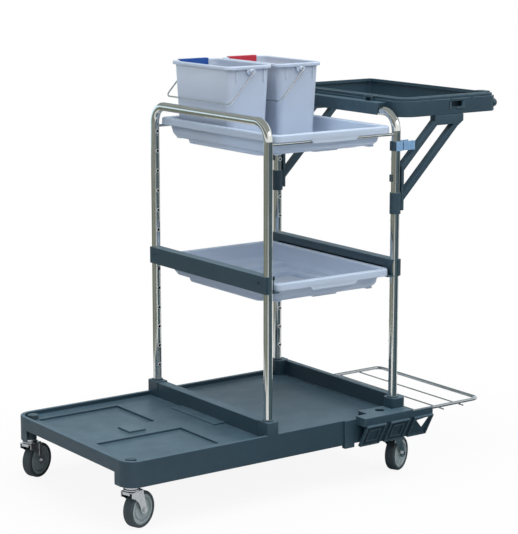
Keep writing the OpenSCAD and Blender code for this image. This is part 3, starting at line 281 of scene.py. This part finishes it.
class SoftEdges:
    """A solid's mesh, joined at its seams, whose sharp edges become strips in two steps."""

    WELD = 1e5
    SHARP_TURN = math.radians(14)
    LEAST_OPENING = 0.35
    STRIP_RISE, CORNER_RISE = 0.293, 0.634

    def __init__(self, mesh, width):
        self.bm = bmesh.new()
        self.shading, self.moved, self.bends = [], {}, {}
        self.join(mesh)
        self.sharp = {ends for ends in self.beside if self.is_sharp(ends)}
        for spot in self.faces_at:
            self.draw_in(spot, width * MM)
        for number, loops in enumerate(self.faces):
            self.fill([self.moved[number, self.spot_of[k]] for k in loops])
        for ends in self.sharp:
            self.fill_strip(ends)
        for spot in self.faces_at:
            self.fill_corner(spot)

    def join(self, mesh):
        """Notes the spots, the faces at each spot and the faces beside each edge."""
        self.spots, self.spot_of, found = [], [], {}
        for loop in mesh.loops:
            co = mesh.vertices[loop.vertex_index].co
            key = tuple(round(c * self.WELD) for c in co)
            if key not in found:
                found[key] = len(self.spots)
                self.spots.append(co.copy())
            self.spot_of.append(found[key])
        self.leans = [Vector(n.vector) for n in mesh.corner_normals]
        rings = [list(face.loop_indices) for face in mesh.polygons]
        self.faces = [loops for loops in rings if len({self.spot_of[k] for k in loops}) == len(loops)]
        self.beside, self.faces_at = {}, {}
        for number, loops in enumerate(self.faces):
            for loop, after in zip(loops, loops[1:] + loops[:1]):
                ends = frozenset((self.spot_of[loop], self.spot_of[after]))
                self.beside.setdefault(ends, []).append(number)
                self.faces_at.setdefault(self.spot_of[loop], []).append(number)

    def lean(self, number, spot):
        return self.leans[next(k for k in self.faces[number] if self.spot_of[k] == spot)]

    def is_sharp(self, ends):
        pair = self.beside[ends]
        limit = math.cos(self.SHARP_TURN)
        return len(pair) != 2 or any(self.lean(pair[0], s).dot(self.lean(pair[1], s)) < limit for s in ends)

    def edges_at(self, number, spot):
        ring = [self.spot_of[k] for k in self.faces[number]]
        k = ring.index(spot)
        return frozenset((spot, ring[k - 1])), frozenset((spot, ring[(k + 1) % len(ring)]))

    def along(self, spot, ends):
        return (self.spots[next(s for s in ends if s != spot)] - self.spots[spot]).normalized()

    def inward(self, number, spot, ends):
        side = self.lean(number, spot).cross(self.along(spot, ends))
        loops = self.faces[number]
        middle = sum((self.spots[self.spot_of[k]] for k in loops), Vector()) / len(loops)
        return side.normalized() * (1 if (middle - self.spots[spot]).dot(side) > 0 else -1)

    def new_spot(self, co, lean):
        made = self.bm.verts.new(co)
        made.index = len(self.shading)
        self.shading.append(lean.normalized())
        return made

    def fans(self, spot):
        """The faces round a spot, in groups that sharp edges part, each with the sharp edges it meets."""
        left = set(self.faces_at[spot])
        while left:
            group, edges, reach = [], [], [left.pop()]
            while reach:
                here = reach.pop()
                group.append(here)
                for ends in self.edges_at(here, spot):
                    if ends in self.sharp:
                        edges.append((here, ends))
                        continue
                    for other in self.beside[ends]:
                        if other in left:
                            left.discard(other)
                            reach.append(other)
            yield group, edges

    def draw_in(self, spot, width):
        """Gives each group of faces its own spot, moved in from the sharp edges."""
        for group, edges in self.fans(spot):
            shift = Vector()
            if len(edges) == 2 and edges[0][1] != edges[1][1]:
                one, two = (self.inward(number, spot, ends) for number, ends in edges)
                shift = (one + two) * (width / max(self.LEAST_OPENING, 1 + one.dot(two)))
            lean = sum((self.lean(number, spot) for number in group), Vector())
            made = self.new_spot(self.spots[spot] + shift, lean)
            for number in group:
                self.moved[number, spot] = made

    def groups_at(self, spot):
        return {self.moved[number, spot] for number in self.faces_at[spot]}

    def fill(self, points):
        ring = [p for k, p in enumerate(points) if p is not points[k - 1]]
        if len(set(ring)) == len(ring) and len(ring) > 2 and not self.bm.faces.get(ring):
            self.bm.faces.new(ring)

    def bend(self, spot, ends, a, b):
        """The spot on the round between two drawn-in spots, shared by the strips that meet there."""
        if a is b:
            return a
        is_corner = len(self.groups_at(spot)) > 2
        key = (spot, ends) if is_corner else (spot, frozenset((a, b)))
        if key not in self.bends:
            out = a.co + b.co - 2 * self.spots[spot]
            slide = Vector()
            if is_corner:
                along = self.along(spot, ends)
                slide = along * out.dot(along)
            place = self.spots[spot] + slide / 2 + (out - slide) * self.STRIP_RISE
            self.bends[key] = self.new_spot(place, self.shading[a.index] + self.shading[b.index])
        return self.bends[key]

    def fill_strip(self, ends):
        if len(self.beside[ends]) != 2:
            return
        one, two = self.beside[ends]
        rows = []
        for spot in ends:
            a, b = self.moved[one, spot], self.moved[two, spot]
            rows.append((a, self.bend(spot, ends, a, b), b))
        (a0, m0, b0), (a1, m1, b1) = rows
        self.fill([a0, a1, m1, m0])
        self.fill([m0, m1, b1, b0])

    def fill_corner(self, spot):
        """Closes the corner where three or more strips meet, round a spot of its own."""
        groups = self.groups_at(spot)
        if len(groups) < 3:
            return
        rim = {}
        for number in self.faces_at[spot]:
            for ends in self.edges_at(number, spot):
                if ends in self.sharp and len(self.beside[ends]) == 2:
                    rim.setdefault(ends, set()).add(self.moved[number, spot])
        reach = sum((p.co - self.spots[spot] for p in groups), Vector()) / len(groups)
        lean = sum((self.shading[p.index] for p in groups), Vector())
        top = self.new_spot(self.spots[spot] + reach * self.CORNER_RISE, lean)
        for ends, pair in rim.items():
            for p in pair:
                if (spot, ends) in self.bends:
                    self.fill([top, p, self.bends[spot, ends]])


def soft_edged(node, width):
    soft = SoftEdges(nodes[node].data, width)
    piece = dressed(node + "_moulding", soft.bm, node)
    piece.data.normals_split_custom_set_from_vertices(soft.shading)


for width, mouldings in (
        (1.6, ("platform",)), (1.5, ("bag_frame", "front_brace", "back_brace")),
        (1.0, ("front_holder", "clamp_ring")), (0.9, ("left_shelf_rail", "right_shelf_rail")),
        (0.8, ("brace_clamps", "clip_collar", "tool_clip", "shelf_saddles")),
        (0.7, ("front_left_fork", "front_right_fork", "back_left_fork", "back_right_fork")),
        (0.6, ("bag_latch", "blue_marker", "red_marker"))):
    for node in mouldings:
        soft_edged(node, width)


# Forms

def rounded_rows(rows, radius, steps=3):
    """Rounds the bends of a profile given as rows of height, half length, half depth and corner radius."""
    soft = [rows[0]]
    for before, here, after in zip(rows, rows[1:], rows[2:]):
        ends = []
        for other in (before, after):
            share = min(0.45, radius / math.dist(here[:3], other[:3]))
            ends.append([h + (o - h) * share for h, o in zip(here, other)])
        for k in range(steps + 1):
            t = k / steps
            soft.append([(1 - t) ** 2 * a + 2 * t * (1 - t) * h + t * t * b
                         for a, h, b in zip(ends[0], here, ends[1])])
    return soft + [rows[-1]]


def joined_rings(bm, pairs):
    """Faces between rings of spots, ring by ring."""
    for low, high in pairs:
        for k, here in enumerate(low):
            after = (k + 1) % len(low)
            bm.faces.new((here, low[after], high[after], high[k]))


def closed_rings(bm, rings):
    joined_rings(bm, zip(rings, rings[1:]))
    bm.faces.new(rings[0])
    bm.faces.new(rings[-1])


def lofted(bm, mid_x, mid_y, rows, corner=8):
    """A shell drawn through rounded rectangles, closed at both ends."""
    rings = []
    for z, half_x, half_y, r in rows:
        ring = []
        for quarter, (side_x, side_y) in enumerate(((1, 1), (-1, 1), (-1, -1), (1, -1))):
            for k in range(corner + 1):
                turn = math.radians(90 * (quarter + k / corner))
                ring.append(bm.verts.new(at(mid_x + side_x * (half_x - r) + r * math.cos(turn),
                                            mid_y + side_y * (half_y - r) + r * math.sin(turn), z)))
        rings.append(ring)
    closed_rings(bm, rings)


def plate(bm, outline, y0, y1):
    """A flat plate across Y, its outline given as points in X and Z."""
    closed_rings(bm, [[bm.verts.new(at(x, y, z)) for x, z in outline] for y in (y0, y1)])


def turned(bm, mid, along, profile, steps=24, hollow=False):
    """A turned form: rows of reach along an axis and radius, closed at the ends or, hollow, right round."""
    along = Vector(along)
    across = along.orthogonal().normalized()
    beside = along.cross(across)
    turns = [2 * math.pi * k / steps for k in range(steps)]
    rings = []
    for reach, radius in profile:
        spokes = [(across * math.cos(turn) + beside * math.sin(turn)) * radius for turn in turns]
        rings.append([bm.verts.new(mid + (along * reach + spoke) * MM) for spoke in spokes])
    if hollow:
        joined_rings(bm, zip(rings, rings[1:] + rings[:1]))
    else:
        closed_rings(bm, rings)


# Rolled lips round the holes in the uprights

HOOP_X, HOOP_Y, TUBE_R = 219.0, 279.0, 12.5
HOLE_TOP, HOLE_PITCH, HOLE_COUNT, HOLE_R = 964.0, 57.6, 13, 4.5
LIP_HIGH, LIP_DEEP, LIP_OUT, LIP_IN = 2.0, 2.2, HOLE_R + 1.6, HOLE_R - 0.7
LIP_STEPS = 20


def hole_lips(node, x):
    lip = [(-LIP_DEEP, LIP_OUT), (LIP_HIGH - 1.2, LIP_OUT), (LIP_HIGH - 0.3, LIP_OUT - 0.4),
           (LIP_HIGH, HOLE_R + 0.4),
           (LIP_HIGH - 0.3, LIP_IN + 0.4), (LIP_HIGH - 1.2, LIP_IN), (-LIP_DEEP, LIP_IN)]
    bm = bmesh.new()
    for side in (-1, 1):
        for k in range(HOLE_COUNT):
            mid = at(x, side * (HOOP_Y - TUBE_R), HOLE_TOP - k * HOLE_PITCH)
            turned(bm, mid, (0, -side, 0), lip, LIP_STEPS, hollow=True)
    dressed(node + "_hole_lips", bm, node, False, "rolled_lip")


hole_lips("left_hoop", -HOOP_X)
hole_lips("right_hoop", HOOP_X)

# Raised frames on the holder's three flaps, which lean out from the skirt. The last one has no inner frame

FLAP_COUNT, FLAP_X, FLAP_W, FLAP_STEP = 3, 73.0, 70.0, 86.0
FLAP_FOOT, FLAP_HEAD = at(0, -310.6, 110.0), at(0, -346.6, 176.0)
FRAME_INSET, FRAME_W, FRAME_H, FRAME_SUNK = 1.0, 5.0, 4.5, 1.0
INNER_INSET_X, INNER_INSET_V, INNER_W, INNER_H = 14.0, 15.0, 4.0, 3.5


def flap_bar(bm, x0, x1, v0, v1, height):
    """A bar on the flaps, between two places along the holder and two up the lean."""
    up = (FLAP_HEAD - FLAP_FOOT).normalized()
    proud = Vector((1, 0, 0)).cross(up)
    layers = []
    for rise in (-FRAME_SUNK, height):
        layers.append([bm.verts.new(FLAP_FOOT + (Vector((x, 0, 0)) + up * v + proud * rise) * MM)
                       for x, v in ((x0, v0), (x1, v0), (x1, v1), (x0, v1))])
    closed_rings(bm, layers)


def flap_ring(bm, x0, x1, inset, width, height):
    v0, v1 = inset, (FLAP_HEAD - FLAP_FOOT).length / MM - inset
    flap_bar(bm, x0, x1, v0, v0 + width, height)
    flap_bar(bm, x0, x1, v1 - width, v1, height)
    flap_bar(bm, x0, x0 + width, v0 + width, v1 - width, height)
    flap_bar(bm, x1 - width, x1, v0 + width, v1 - width, height)


def flap_frames():
    bm = bmesh.new()
    for k in range(FLAP_COUNT):
        x0 = FLAP_X + k * FLAP_STEP
        x1 = x0 + FLAP_W
        flap_ring(bm, x0, x1, FRAME_INSET, FRAME_W, FRAME_H)
        if k < FLAP_COUNT - 1:
            flap_ring(bm, x0 + INNER_INSET_X, x1 - INNER_INSET_X, INNER_INSET_V, INNER_W, INNER_H)
    rounded(dressed("front_holder_frames", bm, "front_holder", False), width=0.7)


flap_frames()

# Strips that close the upper half of the shelf rails' channels, above the tray's rim

RAIL_IN, RAIL_HALF = 15.45, 250.0
COVER_LOW, COVER_TOP, COVER_T = 602.6, 614.5, 2.5


def rail_cover(node, side):
    x0 = side * (HOOP_X - RAIL_IN)
    x1 = x0 + side * COVER_T
    outline = [(x0, COVER_LOW), (x1, COVER_LOW), (x1, COVER_TOP), (x0, COVER_TOP)]
    bm = bmesh.new()
    plate(bm, outline, -RAIL_HALF, RAIL_HALF)
    rounded(dressed(node + "_cover", bm, node, False), width=0.5)


rail_cover("left_shelf_rail", -1)
rail_cover("right_shelf_rail", 1)

# Trays: a hollow rim, ledges at the front and back, and a well between them

UPPER_TRAY_Z, LOWER_TRAY_Z = 982.3, 580.3
TRAY_X, TRAY_Y, TRAY_RIM, TRAY_RIM_H, TRAY_R, TRAY_WALL = 201.0, 287.0, 19.0, 20.0, 24.0, 3.0
LEDGE, WELL, WELL_HALF = 35.0, 12.0, 184.0
TAB_HALF, TAB_DROP, TAB_LEAN, TAB_SUNK = 83.0, 9.0, 10.0, 2.0
RIDGE_X, RIDGE_Y, RIDGE_R = 114.0, 66.0, 16.0
FOOT_IN, FOOT_DROP, FOOT_SUNK = 24.0, 4.0, 1.0
MID_FOOT_HALF, MID_FOOT_D, MID_FOOT_LEAN = 42.0, 24.0, 2.0
END_FOOT_IN, END_FOOT, END_FOOT_LEAN = 14.0, 20.0, 1.0


def tray_shell(bm, z):
    in_x, in_y, r, t = TRAY_X - TRAY_RIM, TRAY_Y - TRAY_RIM, TRAY_R, TRAY_WALL
    top, ledge, low = z + TRAY_RIM_H, z - LEDGE, z - LEDGE - WELL
    rows = [
        (low, in_x - 30, WELL_HALF - 27, r),          # under the well
        (low, in_x - 7, WELL_HALF - 4, r - 2),        # foot of the well, outside
        (ledge, in_x - 5, WELL_HALF, r),              # head of the well, outside
        (ledge, in_x - 4, in_y - 21, r + 8),          # under the ledge
        (ledge + 11, in_x - 1, in_y - 7, r + 4),      # foot of the wall, outside
        (top - t, in_x + t, in_y + t, r - 2),         # head of the wall, outside
        (top - t, TRAY_X - t, TRAY_Y - t, r - t),     # under the rim
        (z, TRAY_X - t, TRAY_Y - t, r - t),           # lower edge of the rim, inside
        (z, TRAY_X, TRAY_Y, r),                       # lower edge of the rim, outside
        (top, TRAY_X - 0.6, TRAY_Y - 0.6, r),         # top of the rim, outside
        (top, in_x, in_y, r - 5),                     # top of the rim, inside
        (ledge + 13, in_x - 4, in_y - 10, r),         # foot of the wall, inside
        (ledge + t, in_x - 7, in_y - 23, r + 4),      # ledge, at the wall
        (ledge + t, in_x - 8, WELL_HALF - 3, r - 3),  # ledge, at the well
        (low + t, in_x - 10, WELL_HALF - 7, r - 5),   # foot of the well, inside
        (low + t, in_x - 30, WELL_HALF - 27, r - 5),  # floor of the well
    ]
    lofted(bm, 0, 0, rounded_rows(rows, radius=4.0))


def tray_ridge(bm, low, top):
    x, y, r, t = RIDGE_X, RIDGE_Y, RIDGE_R, TRAY_WALL
    rows = [(low + 1, x, y, r), (low + 1.5, x, y, r), (top, x, y, r), (top, x - t, y - t, r - t),
            (low + 2, x - t, y - t, r - t), (low + 1.5, x - t, y - t, r - t)]
    lofted(bm, 0, 0, rounded_rows(rows, radius=1.2))


def tapered(x0, x1, lean, top, low):
    """The outline of a form that narrows downwards."""
    return [(x0, top), (x0 + lean, low), (x1 - lean, low), (x1, top)]


def tray(node, z):
    ledge = z - LEDGE
    foot_top, foot_low = ledge + FOOT_SUNK, ledge - FOOT_DROP
    bm = bmesh.new()
    tray_shell(bm, z)
    tray_ridge(bm, ledge - WELL, ledge + TRAY_WALL)
    for side in (-1, 1):
        tab = tapered(-TAB_HALF, TAB_HALF, TAB_LEAN, z + TAB_SUNK, z - TAB_DROP)
        plate(bm, tab, side * TRAY_Y, side * (TRAY_Y - TRAY_WALL))
        foot_y = side * (TRAY_Y - TRAY_RIM - FOOT_IN)
        mid_foot = tapered(-MID_FOOT_HALF, MID_FOOT_HALF, MID_FOOT_LEAN, foot_top, foot_low)
        plate(bm, mid_foot, foot_y, foot_y - side * MID_FOOT_D)
        for end in (-1, 1):
            foot_x = end * (TRAY_X - TRAY_RIM - END_FOOT_IN)
            x0, x1 = sorted((foot_x, foot_x - end * END_FOOT))
            end_foot = tapered(x0, x1, END_FOOT_LEAN, foot_top, foot_low)
            plate(bm, end_foot, foot_y, foot_y - side * END_FOOT)
    rounded(dressed(node + "_moulding", bm, node), width=0.8)


tray("upper_tray", UPPER_TRAY_Z)
tray("lower_tray", LOWER_TRAY_Z)

# Buckets: tapered walls, a rolled rim, brackets and bosses for the bail, and short ribs

LEFT_BUCKET_X, RIGHT_BUCKET_X, BUCKETS_Y = -104.0, 67.0, 107.0
BUCKET_X, BUCKET_Y, BUCKET_LIP, BUCKET_TAPER, BUCKET_WALL, BUCKET_R = 80.0, 149.0, 8.0, 9.0, 2.5, 24.0
BUCKET_LOW, BUCKET_TOP, BUCKET_RIM_H, UNDER_RIM = 950.6, 1166.6, 10.0, 4.0
EAR_DROP, EAR_OUT, EAR_R, EAR_BORE, EAR_BORE_END, EAR_SUNK = 15.0, 14.0, 6.5, 2.3, 4.0, 1.0
BRACKET_HALF, BRACKET_FOOT, BRACKET_OUT, BRACKET_SUNK = 15.0, 10.0, 7.0, 1.5
BRACKET_SHOULDER, BRACKET_DROP = 3.0, 10.0
RIB_IN, RIB_T, RIB_L, RIB_OUT, RIB_SUNK = 26.0, 3.0, 46.0, 2.0, 3.0


def bucket_shell(bm, mid_x, mid_y, x, y):
    t, r, low, top = BUCKET_WALL, BUCKET_R, BUCKET_LOW, BUCKET_TOP
    low_x, low_y, lip = x - BUCKET_TAPER, y - BUCKET_TAPER, top - BUCKET_RIM_H
    rows = [
        (low, low_x - 14, low_y - 14, r - 5),          # under the floor
        (low, low_x - 2, low_y - 2, r - 5),            # edge of the foot
        (low + 6, low_x, low_y, r - 4),                # foot of the wall, outside
        (top - t, x, y, r - 2),                        # head of the wall, outside
        (top - t, BUCKET_X - t, BUCKET_Y - t, r + 2),  # under the rim
        (lip, BUCKET_X - t, BUCKET_Y - t, r + 2),      # lower edge of the rim, inside
        (lip, BUCKET_X, BUCKET_Y, r + 4),              # lower edge of the rim, outside
        (top, BUCKET_X, BUCKET_Y, r + 4),              # top of the rim, outside
        (top, x - 0.6, y - 0.6, r - 3),                # top of the rim, inside
        (low + t, low_x - t, low_y - t, r - 6),        # foot of the wall, inside
        (low + t, low_x - 16, low_y - 16, r - 8),      # floor
    ]
    lofted(bm, mid_x, mid_y, rounded_rows(rows, radius=3.6))


def bucket_bracket(bm, mid_x, wall, side):
    ear, head = BUCKET_TOP - EAR_DROP, BUCKET_TOP - UNDER_RIM
    shoulder, foot = ear - BRACKET_SHOULDER, ear - BRACKET_DROP
    outline = [(-BRACKET_HALF, head), (-BRACKET_HALF, shoulder), (-BRACKET_FOOT, foot),
               (BRACKET_FOOT, foot), (BRACKET_HALF, shoulder), (BRACKET_HALF, head)]
    plate(bm, [(mid_x + x, z) for x, z in outline], wall - side * BRACKET_SUNK, wall + side * BRACKET_OUT)
    boss = [(-EAR_SUNK, EAR_R), (EAR_OUT - 1.2, EAR_R), (EAR_OUT - 0.3, EAR_R - 0.4),
            (EAR_OUT, EAR_R - 1.3), (EAR_OUT, EAR_BORE), (EAR_BORE_END, EAR_BORE)]
    turned(bm, at(mid_x, wall, ear), (0, side, 0), boss)


def bucket(node, mid_x, mid_y):
    x, y = BUCKET_X - BUCKET_LIP, BUCKET_Y - BUCKET_LIP
    head, foot = BUCKET_TOP - UNDER_RIM, BUCKET_TOP - RIB_L
    bm = bmesh.new()
    bucket_shell(bm, mid_x, mid_y, x, y)
    for side in (-1, 1):
        wall = mid_y + side * y
        bucket_bracket(bm, mid_x, wall, side)
        for rib in (-1, 1):
            x0 = mid_x + rib * (x - RIB_IN) - RIB_T / 2
            x1 = x0 + RIB_T
            outline = [(x0, head), (x0, foot), (x1, foot), (x1, head)]
            plate(bm, outline, wall - side * RIB_SUNK, wall + side * RIB_OUT)
    rounded(dressed(node + "_moulding", bm, node), width=0.7)


bucket("left_bucket", LEFT_BUCKET_X, BUCKETS_Y)
bucket("right_bucket", RIGHT_BUCKET_X, BUCKETS_Y)


# Floor, in metres from here on

def level(x0, y0, x1, y1, z):
    return [(x0, y0, z), (x1, y0, z), (x1, y1, z), (x0, y1, z)]


def upright(x0, y0, x1, y1, low, high):
    return [(x0, y0, low), (x1, y1, low), (x1, y1, high), (x0, y0, high)]


def stage_plane(name, corners, material):
    mesh = bpy.data.meshes.new(name)
    mesh.from_pydata(corners, [], [(0, 1, 2, 3)])
    plane = bpy.data.objects.new(name, mesh)
    bpy.context.scene.collection.objects.link(plane)
    mesh.materials.append(material)
    return plane


FLOOR_HALF, FLOOR_GREY = 14, (0.60, 0.60, 0.60)
SHADOW_SPREAD, SHADOW_END, SHADOW_FADE, SHADOW_SHARE = (0.62, 0.75, 0.0), 0.42, 2.6, 0.09


def pale_floor():
    """A floor that shows a faint shadow near the cart and is plain white away from it."""
    f = Finish("pale_floor")
    lit = f.node("ShaderNodeBsdfDiffuse", {}, {"Color": opaque(FLOOR_GREY)})
    seen = f.node("ShaderNodeLightPath", {}, {}, "Is Camera Ray")
    away = f.node("ShaderNodeVectorMath", {"operation": "LENGTH"}, {0: f.stretched(*SHADOW_SPREAD)}, "Value")
    faded = ((away - SHADOW_END) * SHADOW_FADE).clamped()
    whiteness = seen * (1 - SHADOW_SHARE + SHADOW_SHARE * faded)
    return f.shown(f.node("ShaderNodeMixShader", {}, {0: whiteness, 1: lit, 2: f.glow((1, 1, 1))}))


stage_plane("floor", level(-FLOOR_HALF, -FLOOR_HALF, FLOOR_HALF, FLOOR_HALF, 0), pale_floor())


# Cards that only reflections see, as a studio hangs beside bright metal

def reflection_card(name, corners, colour):
    f = Finish(name)
    card = stage_plane(name, corners, f.shown(f.glow(colour)))
    for ray in ("camera", "diffuse", "shadow", "transmission", "volume_scatter"):
        setattr(card, "visible_" + ray, False)


CARD_Z, CARD_FAR = 0.004, 12.0
FLOOR_CARDS = (  # two directions seen from the middle of the cart, the near end and the colour
    (54, 95, 1.6, (0.24, 0.25, 0.21)),
    (95, 140, 1.6, (0.20, 0.21, 0.17)),
    (140, 185, 1.6, (0.26, 0.27, 0.23)),
    (185, 226, 1.6, (0.22, 0.23, 0.20)),
    (246, 290, 0.36, (0.09, 0.13, 0.15)),
    (290, 338, 0.30, (0.05, 0.09, 0.11)),
)
for number, (turn_from, turn_to, near, colour) in enumerate(FLOOR_CARDS):
    corners = []
    for reach, turn in ((near, turn_from), (near, turn_to), (CARD_FAR, turn_to), (CARD_FAR, turn_from)):
        corners.append((reach * math.cos(math.radians(turn)), reach * math.sin(math.radians(turn)), CARD_Z))
    reflection_card("floor_card_%d" % number, corners, colour)

reflection_card("back_card", upright(-6, 5.5, 6, 5.5, 2.3, 5.0), (0.26, 0.28, 0.26))
reflection_card("low_back_card", upright(-7, 5.6, 7, 5.6, 0.2, 2.3), (0.82, 1.02, 1.15))
reflection_card("left_card", upright(-5.5, -5, -5.5, 5.5, 1.4, 4.5), (0.22, 0.23, 0.20))
reflection_card("top_card", level(-4, -4, 4, 5.5, 4.0), (0.34, 0.36, 0.35))


# Lamps, air and camera

def soft_box(name, spot, target_z, width, height, power, mirrored=False):
    lamp = bpy.data.lights.new(name, "AREA")
    lamp.shape, lamp.size, lamp.size_y, lamp.energy = "RECTANGLE", width, height, power
    box = bpy.data.objects.new(name, lamp)
    box.location = spot
    box.rotation_euler = (Vector((0, 0, target_z)) - Vector(spot)).to_track_quat("-Z", "Y").to_euler()
    bpy.context.scene.collection.objects.link(box)
    box.visible_glossy = mirrored


soft_box("top_box", (-0.2, -1.3, 4.2), target_z=0.5, width=4.0, height=4.0, power=186)
soft_box("front_box", (1.6, -4.0, 3.5), target_z=0.6, width=2.0, height=1.6, power=34, mirrored=True)
soft_box("left_box", (-3.9, -0.2, 3.6), target_z=0.6, width=1.6, height=1.6, power=56)
soft_box("right_box", (4.4, -1.2, 2.6), target_z=0.7, width=2.0, height=2.2, power=50)


def studio_air(ambient, strength):
    """Air that is white to the camera and in reflections, and lights the rest with a cooler, weaker light."""
    world = bpy.data.worlds.new("studio")
    world.use_nodes = True
    tree = world.node_tree
    tree.nodes.clear()
    path = tree.nodes.new("ShaderNodeLightPath")
    seen = tree.nodes.new("ShaderNodeMath")
    seen.operation = "MAXIMUM"
    tree.links.new(path.outputs["Is Camera Ray"], seen.inputs[0])
    tree.links.new(path.outputs["Is Glossy Ray"], seen.inputs[1])
    both = tree.nodes.new("ShaderNodeMixShader")
    tree.links.new(seen.outputs[0], both.inputs[0])
    for socket, colour, power in ((1, ambient, strength), (2, (1, 1, 1), 1.0)):
        glow = tree.nodes.new("ShaderNodeBackground")
        glow.inputs[0].default_value, glow.inputs[1].default_value = (*colour, 1), power
        tree.links.new(glow.outputs[0], both.inputs[socket])
    tree.links.new(both.outputs[0], tree.nodes.new("ShaderNodeOutputWorld").inputs[0])
    return world


bpy.context.scene.world = studio_air(ambient=(0.95, 0.97, 1.0), strength=0.40)

# The camera as worked out from the photograph's straight edges

FOCAL_PX, PHOTO_H_PX, SENSOR = 1865.0, 534.0, 36.0
CAMERA_AT, CAMERA_DOWN, CAMERA_TURN = (-3090.0, -4253.0, 1594.0), 10.89, -35.56

lens = bpy.data.cameras.new("camera")
lens.lens, lens.sensor_width, lens.sensor_fit = FOCAL_PX * SENSOR / PHOTO_H_PX, SENSOR, "AUTO"
lens.clip_end = 60
camera = bpy.data.objects.new("camera", lens)
camera.location = at(*CAMERA_AT)
camera.rotation_euler = (math.radians(90 - CAMERA_DOWN), 0, math.radians(CAMERA_TURN))
bpy.context.scene.collection.objects.link(camera)
bpy.context.scene.camera = camera
bpy.context.scene.view_settings.view_transform = "Standard"
